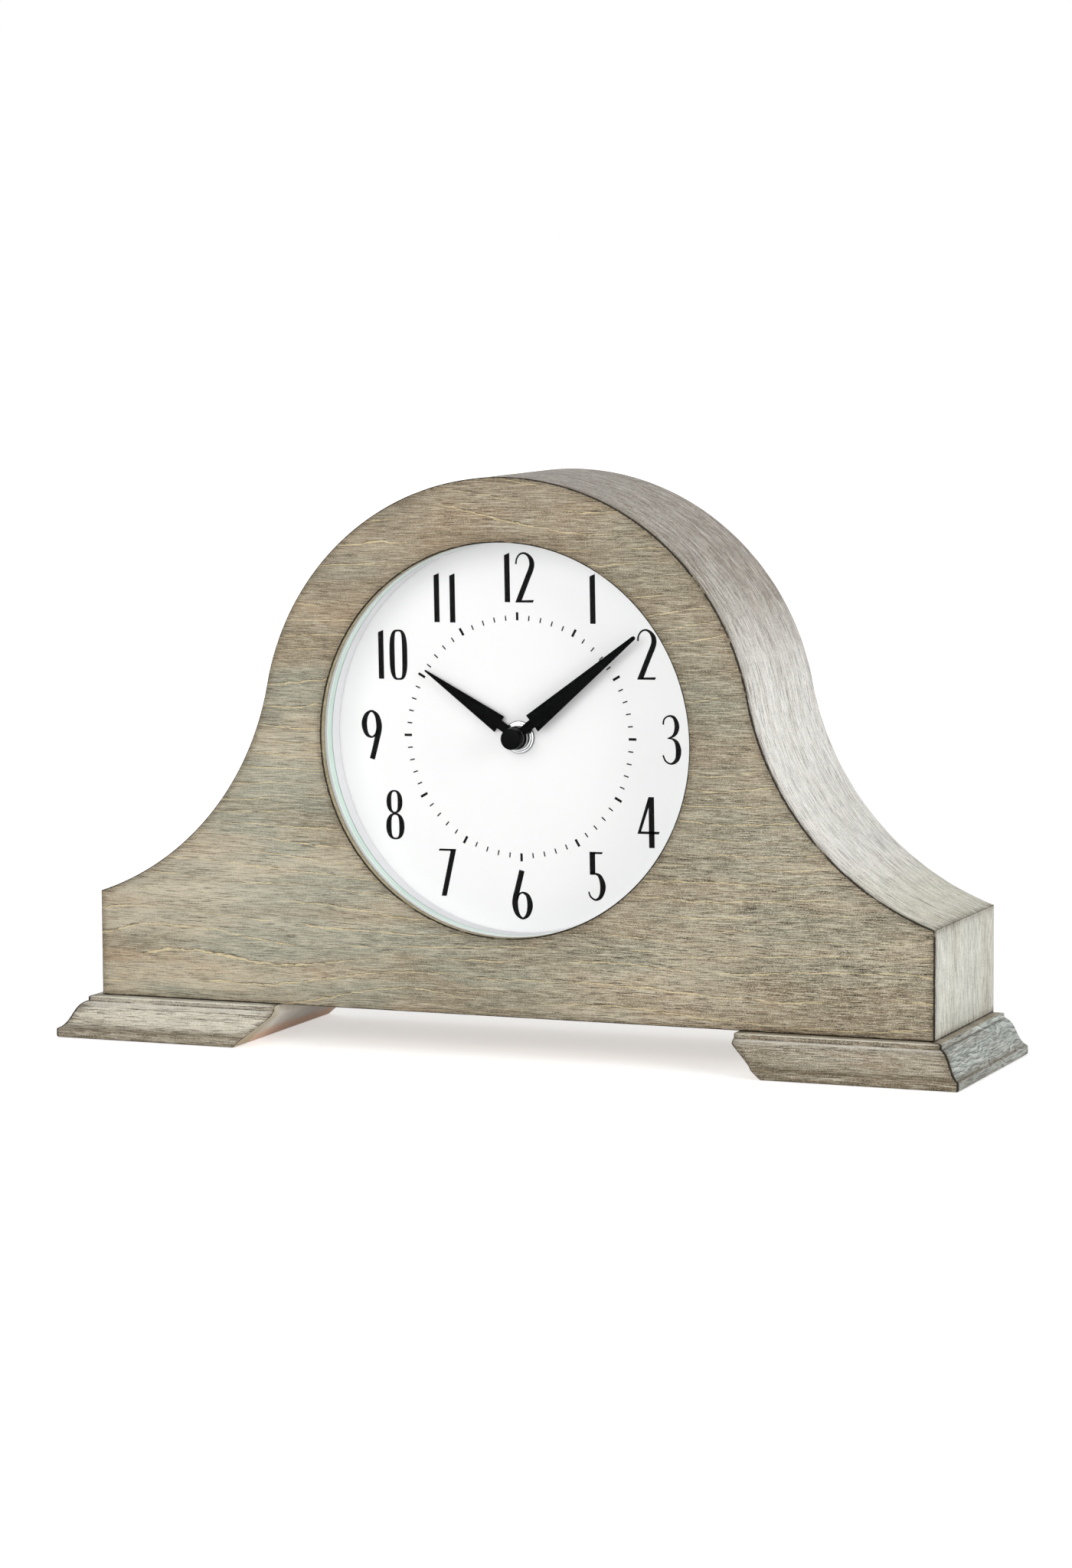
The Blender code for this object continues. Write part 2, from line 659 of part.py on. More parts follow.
def rounded_box(half_width, half_height, radius, centre):
    """Outline of a rectangle with rounded corners."""
    points = []
    for quarter, (sx, sz) in enumerate(((1, 1), (-1, 1), (-1, -1), (1, -1))):
        middle = (centre[0] + sx * (half_width - radius), centre[1] + sz * (half_height - radius))
        start = quarter * math.pi / 2
        points += arc(middle, radius, start, start + math.pi / 2, CORNER_SEGMENTS)
    return points


def make_back():
    """Back panel with a hatch, its door on two butt hinges, knob and magnetic catch."""
    centre = (0.0, AXIS_Z - DOOR_DROP)
    outline = case_outline(BAND_THICKNESS + GAP, END_THICKNESS + GAP, BOTTOM_THICKNESS + GAP)
    panel = piece("back_panel", "fibreboard", lambda bm: prism(bm, outline, BACK_INNER, BACK_FACE))
    hatch = rounded_box(DOOR_WIDTH / 2 + DOOR_CLEARANCE, DOOR_HEIGHT / 2 + DOOR_CLEARANCE,
                        DOOR_CORNER + DOOR_CLEARANCE, centre)
    cut(panel, "hatch_cutter", lambda bm: prism(bm, hatch, 0.0, BODY_DEPTH))

    hinge_x = -DOOR_WIDTH / 2 - DOOR_CLEARANCE / 2
    hinge_depth = BACK_FACE + GAP + KNUCKLE_RADIUS
    leaf_axis = Vector((hinge_x, at(hinge_depth), centre[1]))
    leaf = rounded_box(DOOR_WIDTH / 2, DOOR_HEIGHT / 2, DOOR_CORNER, centre)
    door = hinged("back_door", "fibreboard", leaf_axis,
                  lambda bm: prism(bm, leaf, BACK_INNER, BACK_FACE))
    knob_place = (DOOR_WIDTH / 2 - KNOB_INSET, centre[1])
    spigot_end = BACK_FACE + GAP - KNOB_SPIGOT_LENGTH
    hole = screw_holes([knob_place], KNOB_SPIGOT + GAP, spigot_end - GAP, BODY_DEPTH)
    cut(door, "knob_cutter", hole)
    make_knob(leaf_axis, knob_place, spigot_end)
    make_hinges(leaf_axis, centre)
    make_catch(leaf_axis, centre)


def hinged(name, material, axis, build):
    """A piece with its origin on the hinges' axis."""
    bm = bmesh.new()
    build(bm)
    bmesh.ops.translate(bm, verts=bm.verts, vec=-axis)
    return add_object(name, bm, material, axis)


def make_knob(axis, place, spigot_end):
    """Small turned pull on the door: a spigot, a waist and a round head."""
    base = BACK_FACE + GAP
    head = base + KNOB_LENGTH - KNOB_HEAD
    profile = [
        (0.0, spigot_end),
        (KNOB_SPIGOT, spigot_end),
        (KNOB_SPIGOT, base),
        (KNOB_WAIST, base),
    ]
    for i in range(KNOB_SEGMENTS + 1):
        turn = math.pi * i / KNOB_SEGMENTS
        radius = KNOB_WAIST + (KNOB_RADIUS - KNOB_WAIST) * math.sin(turn)
        profile.append((radius, head + KNOB_HEAD * (1 - math.cos(turn)) / 2))
    profile.append((0.0, base + KNOB_LENGTH))
    hinged("door_knob", "brass", axis, lambda bm: turned(bm, profile, place, SHAFT_SEGMENTS))


def make_hinges(axis, centre):
    """Two butt hinges: a leaf on the panel, a leaf on the door and a pin each."""
    leaf_front = BACK_FACE + GAP
    leaf_back = leaf_front + LEAF_THICKNESS
    axis_place = (axis.x, leaf_front + KNUCKLE_RADIUS)
    knuckle = (LEAF_HEIGHT - 2 * RUNNING_GAP) / 3
    reach = DOOR_HEIGHT / 2 - HINGE_INSET
    for name, offset in (("lower", -reach), ("upper", reach)):
        low = centre[1] + offset - LEAF_HEIGHT / 2
        spans = [(low + i * (knuckle + RUNNING_GAP), low + i * (knuckle + RUNNING_GAP) + knuckle)
                 for i in range(3)]

        def leaf(bm, side):
            inner = KNUCKLE_RADIUS + RUNNING_GAP
            xs = sorted((axis.x + side * inner, axis.x + side * LEAF_WIDTH))
            plank(bm, (xs[0], leaf_front, low), (xs[1], leaf_back, low + LEAF_HEIGHT))

        def tabs(bm, side, parts):
            for start, end in parts:
                inner = KNUCKLE_RADIUS + RUNNING_GAP + LEAF_LAP
                xs = sorted((axis.x, axis.x + side * inner))
                plank(bm, (xs[0], leaf_front, start), (xs[1], leaf_back, end))

        def barrels(bm, parts):
            for start, end in parts:
                upright_cylinder(bm, KNUCKLE_RADIUS, start, end, axis_place)

        def bore(bm):
            radius = PIN_RADIUS + PIN_GAP
            upright_cylinder(bm, radius, low - KNUCKLE_RADIUS, low + LEAF_HEIGHT + KNUCKLE_RADIUS,
                             axis_place)

        halves = (("fixed", -1, [spans[0], spans[2]]), ("moving", 1, [spans[1]]))
        for kind, side, parts in halves:
            title = f"{name}_hinge_{kind}_leaf"
            plate = hinged(title, "brass", axis, lambda bm, s=side: leaf(bm, s))
            fuse(plate, title + "_tabs", lambda bm, s=side, p=parts: tabs(bm, s, p))
            fuse(plate, title + "_barrels", lambda bm, p=parts: barrels(bm, p))
            cut(plate, title + "_bore", bore)

        def pin(bm):
            neck = low + LEAF_HEIGHT + GAP
            rings = [
                (PIN_RADIUS, low),
                (PIN_RADIUS, neck),
                (PIN_HEAD_RADIUS, neck),
                (PIN_HEAD_RADIUS, neck + PIN_RADIUS),
            ]
            place = (axis_place[0], at(axis_place[1]))
            loft(bm, [[(x, y, z) for x, y in circle(radius, PIN_SEGMENTS, place)]
                      for radius, z in rings])

        piece(f"{name}_hinge_pin", "brass", pin)


def make_catch(axis, centre):
    """Magnetic catch on the panel's inner side, and its steel strike on the door."""
    base_front = BACK_INNER - GAP - CATCH_DEPTH
    edge = DOOR_WIDTH / 2
    nose_back = BACK_INNER - 2 * GAP - STRIKE_THICKNESS - GAP
    plan = [
        (edge - CATCH_REACH, base_front),
        (edge + DOOR_CLEARANCE + CATCH_BASE, base_front),
        (edge + DOOR_CLEARANCE + CATCH_BASE, BACK_INNER - GAP),
        (edge + 2 * DOOR_CLEARANCE, BACK_INNER - GAP),
        (edge + 2 * DOOR_CLEARANCE, nose_back),
        (edge - CATCH_REACH, nose_back),
    ]
    low = centre[1] - CATCH_HEIGHT / 2
    rings = [[(x, at(depth), z) for x, depth in plan] for z in (low, low + CATCH_HEIGHT)]
    piece("catch_magnet", "white_plastic", lambda bm: loft(bm, rings))
    back = BACK_INNER - GAP
    near = (edge - CATCH_REACH, back - STRIKE_THICKNESS, low)
    far = (edge - CATCH_REACH + STRIKE_WIDTH, back, low + CATCH_HEIGHT)
    hinged("catch_strike", "steel", axis, lambda bm: plank(bm, near, far))


def make_dial():
    """Glass, its retaining ring, the white spacer and the dial."""
    radius = OPENING_RADIUS
    lens_front = LIP_DEPTH + GAP
    lens_back = lens_front + LENS_THICKNESS
    ring_front = lens_back + GAP
    spacer_front = FRONT_THICKNESS + GAP
    spacer_back = DIAL_DEPTH - GAP

    def ring(inner, outer, front, back):
        profile = [(inner, front), (outer, front), (outer, back), (inner, back)]
        return lambda bm: turned(bm, profile, AXIS, OPENING_SEGMENTS)

    def disc(outer, front, back):
        return lambda bm: cylinder(bm, outer, front, back, AXIS, OPENING_SEGMENTS)

    piece("lens", "glass", disc(LENS_RADIUS, lens_front, lens_back))
    piece("lens_ring", "pale_green",
          ring(radius, LENS_RADIUS, ring_front, FRONT_THICKNESS))
    spacer = piece("dial_spacer", "white_card",
                   ring(radius, DIAL_RADIUS, spacer_front, spacer_back))
    dial = piece("dial", "white_card", disc(DIAL_RADIUS, DIAL_DEPTH, DIAL_BACK))
    holes = screw_holes(dial_screw_places(), SCREW_SHANK + GAP, 0.0, BODY_DEPTH)
    cut(spacer, "spacer_screw_cutter", holes)
    cut(dial, "dial_screw_cutter", holes)
    cut(dial, "dial_centre_cutter",
        lambda bm: cylinder(bm, BUSH_RADIUS + GAP, 0.0, BODY_DEPTH, AXIS,
                            BUSH_SEGMENTS))


def make_dial_screws():
    """Screws through the dial and its spacer into the front board."""
    seat = DIAL_BACK + GAP
    end = FRONT_THICKNESS - SCREW_BITE
    for number, place in enumerate(dial_screw_places(), 1):
        profile = [
            (0.0, end),
            (SCREW_POINT, end),
            (SCREW_SHANK, end + SCREW_SHANK),
            (SCREW_SHANK, seat),
            (SCREW_HEAD, seat),
            (SCREW_HEAD_TOP, seat + SCREW_HEAD_HEIGHT),
            (0.0, seat + SCREW_HEAD_HEIGHT),
        ]
        piece(f"dial_screw_{number}", "steel",
              lambda bm, p=profile, c=place: turned(bm, p, c, SCREW_SEGMENTS),
              smooth_angle=SCREW_SMOOTH_ANGLE)


def hand_outline(length, shoulder, width, tip_width):
    """A hand that points to twelve: eye, neck, square step and a long taper."""
    neck = HAND_NECK_WIDTH / 2
    spread = math.asin(neck / HAND_EYE_RADIUS)
    eye = arc(AXIS, HAND_EYE_RADIUS, math.pi / 2 + spread, 5 * math.pi / 2 - spread, PIPE_SEGMENTS)
    base = AXIS_Z + shoulder
    tip = AXIS_Z + length - tip_width / 2
    right = [(neck, base), (width / 2, base)]
    point = arc((0.0, tip), tip_width / 2, 0.0, math.pi, TIP_SEGMENTS)
    left = [(-width / 2, base), (-neck, base)]
    return eye + right + point + left


def clockwise(bm, degrees):
    """Turn everything in the mesh about the hands' axis, clockwise as the dial is read."""
    centre = Vector((0.0, 0.0, AXIS_Z))
    angle = math.radians(degrees)
    for vert in bm.verts:
        x = vert.co.x
        z = vert.co.z - centre.z
        vert.co.x = x * math.cos(angle) + z * math.sin(angle)
        vert.co.z = centre.z - x * math.sin(angle) + z * math.cos(angle)


def make_hands():
    """Nut, hour hand with its collet, minute hand and the cap in front."""
    nut_profile = [
        (BUSH_RADIUS + GAP, NUT_FRONT),
        (NUT_RADIUS - EDGE_CHAMFER, NUT_FRONT),
        (NUT_RADIUS, NUT_FRONT + EDGE_CHAMFER),
        (NUT_RADIUS, NUT_FRONT + NUT_THICKNESS),
        (BUSH_RADIUS + GAP, NUT_FRONT + NUT_THICKNESS),
    ]
    piece("fixing_nut", "bright_metal", lambda bm: turned(bm, nut_profile, AXIS, HUB_SEGMENTS))
    half = HAND_THICKNESS / 2
    minute_length = OPENING_RADIUS - MINUTE_TIP_MARGIN
    hour_length = OPENING_RADIUS - HOUR_TIP_MARGIN

    def hand(length, shoulder, width, tip_width, plane, angle):
        outline = hand_outline(length, shoulder, width, tip_width)

        def build(bm):
            prism(bm, outline, plane - half, plane + half)
            clockwise(bm, angle)
        return build

    hour = piece("hour_hand", "black_paint",
                 hand(hour_length, HOUR_SHOULDER, HOUR_WIDTH, HOUR_TIP_WIDTH, HOUR_PLANE,
                      HOUR_ANGLE), AXIS)
    cut(hour, "hour_eye_cutter",
        lambda bm: cylinder(bm, PIPE_RADIUS + GAP, 0.0, BODY_DEPTH, AXIS, PIPE_SEGMENTS))
    minute = piece("minute_hand", "black_paint",
                   hand(minute_length, MINUTE_SHOULDER, MINUTE_WIDTH, MINUTE_TIP_WIDTH,
                        MINUTE_PLANE, MINUTE_ANGLE), AXIS)
    cut(minute, "minute_eye_cutter",
        lambda bm: cylinder(bm, ARBOR_RADIUS + GAP, 0.0, BODY_DEPTH, AXIS, SHAFT_SEGMENTS))
    collet_profile = [
        (PIPE_RADIUS + GAP, COLLET_FRONT),
        (COLLET_RADIUS - 2 * EDGE_CHAMFER, COLLET_FRONT),
        (COLLET_RADIUS, COLLET_FRONT + EDGE_CHAMFER),
        (COLLET_RADIUS, COLLET_BACK),
        (PIPE_RADIUS + GAP, COLLET_BACK),
    ]
    piece("hour_collet", "black_plastic",
          lambda bm: turned(bm, collet_profile, AXIS, HUB_SEGMENTS), AXIS)
    cap_profile = [
        (0.0, CAP_FRONT),
        (HAND_CAP_RADIUS - 2 * EDGE_CHAMFER, CAP_FRONT),
        (HAND_CAP_RADIUS, CAP_FRONT + 2 * EDGE_CHAMFER),
        (HAND_CAP_RADIUS, CAP_BACK),
        (ARBOR_RADIUS + GAP, CAP_BACK),
        (ARBOR_RADIUS + GAP, CAP_BORE_END),
        (0.0, CAP_BORE_END),
    ]
    piece("hand_cap", "black_plastic", lambda bm: turned(bm, cap_profile, AXIS, HUB_SEGMENTS), AXIS)


def gear_outline(teeth, module, centre, phase):
    """Outline of a toothed wheel with a tooth at the phase, in radians from +X."""
    pitch = 2 * math.pi / teeth
    radius = module * teeth / 2
    root = radius - DEDENDUM * module
    tip = radius + ADDENDUM * module
    corners = ((root, -TOOTH_ROOT), (tip, -TOOTH_TIP), (tip, TOOTH_TIP), (root, TOOTH_ROOT))
    points = []
    for i in range(teeth):
        for reach, share in corners:
            angle = phase + i * pitch + share * pitch / 2
            points.append((centre[0] + reach * math.cos(angle), centre[1] + reach * math.sin(angle)))
    return points


def mated_phase(phase, teeth, bearing, mate_teeth):
    """Phase of a wheel that meshes with another one, which lies in the given direction."""
    pitch = 2 * math.pi / teeth
    line = math.radians(bearing)
    lead = (phase - line) % pitch
    return line + math.pi - lead * teeth / mate_teeth + math.pi / mate_teeth


MOTION_PHASE = mated_phase(0.0, CANNON_TEETH, MOTION_BEARING, MOTION_TEETH)
SETTING_PHASE = mated_phase(MOTION_PHASE, MOTION_TEETH, SETTING_BEARING, SETTING_TEETH)
MOTION_PINION_PHASE = 0.0
HOUR_PHASE = mated_phase(
    MOTION_PINION_PHASE, MOTION_PINION_TEETH, MOTION_BEARING + 180, HOUR_TEETH)
THIRD_PINION_PHASE = mated_phase(0.0, CENTRE_TEETH, THIRD_BEARING, PINION_TEETH)
SECOND_PINION_PHASE = mated_phase(0.0, THIRD_TEETH, SECOND_BEARING, PINION_TEETH)
INTERMEDIATE_PINION_PHASE = mated_phase(0.0, SECOND_TEETH, INTERMEDIATE_BEARING, PINION_TEETH)
ROTOR_PHASE = mated_phase(0.0, INTERMEDIATE_TEETH, ROTOR_BEARING, PINION_TEETH)


def make_wheel(name, axis, wheel, pinion):
    """A moulded wheel with its pinion and pivots, in one piece.

    wheel and pinion each give (teeth, module, phase, layer). The pinion reaches into the
    wheel, and the arbor runs from the front plate to the rear wall.
    """
    teeth, module, phase, level = wheel
    front, back = layer(level)
    outline = gear_outline(teeth, module, axis, phase)
    whole = piece(name, "white_plastic", lambda bm: prism(bm, outline, front, back), axis)
    pinion_teeth, pinion_module, pinion_phase, pinion_level = pinion
    pinion_front, pinion_back = layer(pinion_level)
    overlap = WHEEL_THICKNESS / 2
    low = min(pinion_front, front + overlap)
    high = max(pinion_back, back - overlap)
    leaves = gear_outline(pinion_teeth, pinion_module, axis, pinion_phase)
    fuse(whole, name + "_pinion", lambda bm: prism(bm, leaves, low, high))
    add_arbor(whole, axis)


def add_arbor(wheel, axis):
    """Thin arbor from the front plate to the rear wall, as one solid with its wheel."""
    fuse(wheel, wheel.name + "_arbor",
         lambda bm: cylinder(bm, PIVOT_RADIUS, PIVOT_START, PIVOT_END, axis, PIVOT_SEGMENTS))


def make_train():
    """Going train from the motor to the centre wheel."""
    make_wheel("third_wheel", THIRD_AXIS,
               (THIRD_TEETH, TRAIN_MODULE, 0.0, THIRD_LAYER),
               (PINION_TEETH, TRAIN_MODULE, THIRD_PINION_PHASE, CENTRE_LAYER))
    make_wheel("second_wheel", SECOND_AXIS,
               (SECOND_TEETH, TRAIN_MODULE, 0.0, SECOND_LAYER),
               (PINION_TEETH, TRAIN_MODULE, SECOND_PINION_PHASE, THIRD_LAYER))
    make_wheel("intermediate_wheel", INTERMEDIATE_AXIS,
               (INTERMEDIATE_TEETH, ROTOR_MODULE, 0.0, INTERMEDIATE_LAYER),
               (PINION_TEETH, TRAIN_MODULE, INTERMEDIATE_PINION_PHASE, SECOND_LAYER))
    front, back = layer(CENTRE_LAYER)
    outline = gear_outline(CENTRE_TEETH, TRAIN_MODULE, AXIS, 0.0)
    centre = piece("centre_wheel", "white_plastic", lambda bm: prism(bm, outline, front, back), AXIS)
    cut(centre, "centre_bore_cutter",
        lambda bm: cylinder(bm, ARBOR_RADIUS + GAP, 0.0, BODY_DEPTH, AXIS, PIPE_SEGMENTS))

    front = layer(INTERMEDIATE_LAYER)[0]
    leaves = gear_outline(PINION_TEETH, ROTOR_MODULE, ROTOR_AXIS, ROTOR_PHASE)
    magnet_back = MAGNET_FRONT + MAGNET_HEIGHT
    rotor = piece("rotor", "bonded_magnet",
                  lambda bm: cylinder(bm, MAGNET_RADIUS, MAGNET_FRONT, magnet_back, ROTOR_AXIS,
                                      PIPE_SEGMENTS), ROTOR_AXIS)
    fuse(rotor, "rotor_pinion", lambda bm: prism(bm, leaves, front, MAGNET_FRONT + GAP))
    add_arbor(rotor, ROTOR_AXIS)


def make_motion_work():
    """Minute arbor with its pinion, motion wheel, hour wheel and the setting knob."""
    front, back = layer(CANNON_LAYER)
    leaves = gear_outline(CANNON_TEETH, MOTION_MODULE, AXIS, 0.0)
    arbor = piece("minute_arbor", "brass", lambda bm: prism(bm, leaves, front, back), AXIS)
    tip = CAP_BORE_END + GAP
    seat = layer(CENTRE_LAYER)[1] + RUNNING_GAP
    profile = [
        (0.0, tip),
        (ARBOR_RADIUS, tip),
        (ARBOR_RADIUS, seat),
        (PIVOT_RADIUS, seat),
        (PIVOT_RADIUS, PIVOT_END),
        (0.0, PIVOT_END),
    ]
    fuse(arbor, "minute_arbor_shaft", lambda bm: turned(bm, profile, AXIS, SHAFT_SEGMENTS))

    motion = piece("motion_wheel", "white_plastic",
                   lambda bm: prism(bm, gear_outline(MOTION_TEETH, MOTION_MODULE, MOTION_AXIS,
                                                     MOTION_PHASE), front, back), MOTION_AXIS)
    pinion_front, pinion_back = layer(HOUR_LAYER)
    leaves_small = gear_outline(MOTION_PINION_TEETH, HOUR_MODULE, MOTION_AXIS, MOTION_PINION_PHASE)
    fuse(motion, "motion_pinion",
         lambda bm: prism(bm, leaves_small, pinion_front, back - WHEEL_THICKNESS / 2))
    cut(motion, "motion_bore_cutter",
        lambda bm: cylinder(bm, PIVOT_RADIUS + RUNNING_GAP / 2, 0.0, BODY_DEPTH, MOTION_AXIS,
                            PIVOT_SEGMENTS))

    hour = piece("hour_wheel", "white_plastic",
                 lambda bm: prism(bm, gear_outline(HOUR_TEETH, HOUR_MODULE, AXIS, HOUR_PHASE),
                                  pinion_front, pinion_back), AXIS)
    fuse(hour, "hour_pipe",
         lambda bm: cylinder(bm, PIPE_RADIUS, COLLET_FRONT, pinion_back - GAP, AXIS, PIPE_SEGMENTS))
    cut(hour, "hour_bore_cutter",
        lambda bm: cylinder(bm, PIPE_RADIUS - PIPE_WALL, 0.0, BODY_DEPTH, AXIS,
                            PIPE_SEGMENTS))

    setting = piece("setting_knob", "black_plastic",
                    lambda bm: prism(bm, gear_outline(SETTING_TEETH, MOTION_MODULE, SETTING_AXIS,
                                                      SETTING_PHASE), front, back), SETTING_AXIS)
    knob_front = MOVEMENT_BACK + RUNNING_GAP
    knob_back = knob_front + SETTING_KNOB_HEIGHT
    fuse(setting, "setting_shaft",
         lambda bm: cylinder(bm, SETTING_SHAFT_RADIUS, PIVOT_START, knob_back - GAP,
                             SETTING_AXIS, PIN_SEGMENTS))

    def ribbed(bm):
        outline = []
        for i in range(2 * SETTING_KNOB_RIBS):
            reach = SETTING_KNOB_RADIUS - (i % 2) * SETTING_KNOB_RIB_DEPTH
            outline.append(step_from(SETTING_AXIS, 180 * i / SETTING_KNOB_RIBS, reach))
        prism(bm, outline, knob_front, knob_back)

    fuse(setting, "setting_grip", ribbed)


def make_movement_case():
    """Front and rear shells of the movement, the rubber gasket and the bearings."""
    shell = rounded_box(MOVEMENT_HALF, MOVEMENT_HALF, MOVEMENT_CORNER, AXIS)
    front = piece("movement_front_case", "black_plastic",
                  lambda bm: prism(bm, shell, MOVEMENT_FRONT, PLATE_BACK))
    fuse(front, "bush",
         lambda bm: cylinder(bm, BUSH_RADIUS, NUT_FRONT, PLATE_BACK - GAP, AXIS, BUSH_SEGMENTS))
    cut(front, "bush_cutter",
        lambda bm: cylinder(bm, PIPE_RADIUS + RUNNING_GAP, 0.0, BODY_DEPTH, AXIS,
                            PIPE_SEGMENTS))
    post_end = layer(CANNON_LAYER)[1] + RUNNING_GAP
    fuse(front, "motion_post",
         lambda bm: cylinder(bm, PIVOT_RADIUS, PLATE_BACK - GAP, post_end, MOTION_AXIS,
                             PIVOT_SEGMENTS))

    gasket = [
        (BUSH_RADIUS + GAP, GASKET_FRONT),
        (GASKET_RADIUS, GASKET_FRONT),
        (GASKET_RADIUS, GASKET_FRONT + GASKET_THICKNESS),
        (BUSH_RADIUS + GAP, GASKET_FRONT + GASKET_THICKNESS),
    ]
    piece("gasket", "rubber", lambda bm: turned(bm, gasket, AXIS, BUSH_SEGMENTS))

    rear_front = PLATE_BACK + GAP
    rear = piece("movement_rear_case", "black_plastic",
                 lambda bm: prism(bm, shell, rear_front, MOVEMENT_BACK))
    inner = MOVEMENT_HALF - MOVEMENT_WALL

    def chamber(bm):
        plank(bm, (-inner, 0.0, BAY_TOP + BAY_PARTITION), (inner, REAR_WALL, AXIS_Z + inner))

    def bay(bm):
        plank(bm, (-inner, 0.0, AXIS_Z - inner), (inner, BODY_DEPTH, BAY_TOP))

    cut(rear, "chamber_cutter", chamber)
    cut(rear, "bay_cutter", bay)
    cut(rear, "setting_cutter",
        lambda bm: cylinder(bm, SETTING_SHAFT_RADIUS + RUNNING_GAP, 0.0, BODY_DEPTH,
                            SETTING_AXIS, PIN_SEGMENTS))

    def collars(bm):
        for centre in (AXIS, THIRD_AXIS, SECOND_AXIS, INTERMEDIATE_AXIS, ROTOR_AXIS):
            rim = REAR_WALL - PIVOT_BOSS_HEIGHT
            bore = PIVOT_RADIUS + RUNNING_GAP / 2
            profile = [(bore, rim), (PIVOT_BOSS, rim), (PIVOT_BOSS, REAR_WALL + GAP),
                       (bore, REAR_WALL + GAP)]
            turned(bm, profile, centre, PIVOT_SEGMENTS)

    fuse(rear, "bearing_collars", collars)


def make_motor_and_circuit():
    """Stator, coil, circuit board, crystal, battery and its contacts."""
    stator_front = MAGNET_FRONT + (MAGNET_HEIGHT - STATOR_THICKNESS) / 2
    stator_back = stator_front + STATOR_THICKNESS
    x, z = ROTOR_AXIS
    coil_x = x + COIL_DISTANCE
    end_x = coil_x + CORE_WIDTH / 2
    heel_x = x + STATOR_HEEL
    outline = [
        (x - STATOR_NOSE, z - STATOR_HALF_HEIGHT),
        (end_x, z - STATOR_HALF_HEIGHT),
        (end_x, z - STATOR_SLOT_HALF),
        (heel_x, z - STATOR_SLOT_HALF),
        (heel_x, z + STATOR_SLOT_HALF),
        (end_x, z + STATOR_SLOT_HALF),
        (end_x, z + STATOR_HALF_HEIGHT),
        (x - STATOR_NOSE, z + STATOR_HALF_HEIGHT),
    ]
    stator = piece("stator", "steel", lambda bm: prism(bm, outline, stator_front, stator_back))
    cut(stator, "stator_bore_cutter",
        lambda bm: cylinder(bm, MAGNET_RADIUS + MAGNET_AIR_GAP, 0.0, BODY_DEPTH, ROTOR_AXIS,
                            PIPE_SEGMENTS))

    core_back = stator_front - GAP
    core_front = core_back - CORE_THICKNESS
    low = (coil_x - CORE_WIDTH / 2, core_front, z - STATOR_HALF_HEIGHT)
    high = (coil_x + CORE_WIDTH / 2, core_back, z + STATOR_HALF_HEIGHT)
    piece("coil_core", "steel", lambda bm: plank(bm, low, high))

    centre = (coil_x, at((core_front + core_back) / 2))
    half = STATOR_SLOT_HALF - GAP

    def bobbin(bm):
        steps = [
            (BOBBIN_RADIUS, z - half),
            (BOBBIN_RADIUS, z - half + BOBBIN_FLANGE),
            (BOBBIN_TUBE_RADIUS, z - half + BOBBIN_FLANGE),
            (BOBBIN_TUBE_RADIUS, z + half - BOBBIN_FLANGE),
            (BOBBIN_RADIUS, z + half - BOBBIN_FLANGE),
            (BOBBIN_RADIUS, z + half),
        ]
        loft(bm, [[(u, v, w) for u, v in circle(r, SHAFT_SEGMENTS, centre)]
                  for r, w in steps])

    tube = piece("coil_bobbin", "white_plastic", bobbin)
    cut(tube, "core_cutter", lambda bm: plank(
        bm, (low[0] - GAP, core_front - GAP, low[2]), (high[0] + GAP, core_back + GAP, high[2])))

    def winding(bm):
        inner = BOBBIN_TUBE_RADIUS + GAP
        outer = inner + WINDING_DEPTH
        low_z = z - half + BOBBIN_FLANGE + GAP
        high_z = z + half - BOBBIN_FLANGE - GAP
        steps = [(inner, low_z), (outer, low_z), (outer, high_z), (inner, high_z)]
        loft(bm, [[(u, v, w) for u, v in circle(r, SHAFT_SEGMENTS, centre)]
                  for r, w in steps], closed=True)

    piece("coil_winding", "copper", winding)

    board_front = PIVOT_END - BOARD_THICKNESS
    edge = MOVEMENT_WALL - MOVEMENT_HALF + GAP
    board_z = AXIS_Z + BOARD_RISE
    board_low = (edge, board_front, board_z - BOARD_HEIGHT / 2)
    board_high = (edge + BOARD_WIDTH, PIVOT_END, board_z + BOARD_HEIGHT / 2)
    piece("circuit_board", "circuit_green", lambda bm: plank(bm, board_low, board_high))
    can_depth = board_front - GAP - CRYSTAL_RADIUS
    can_x = edge + BOARD_WIDTH / 2

    def can(bm):
        flat = circle(CRYSTAL_RADIUS, PIN_SEGMENTS, (at(can_depth), board_z))
        xs = (can_x - CRYSTAL_LENGTH / 2, can_x + CRYSTAL_LENGTH / 2)
        loft(bm, [[(u, y, w) for y, w in flat] for u in xs])

    piece("quartz_crystal", "bright_metal", can)
    make_battery()


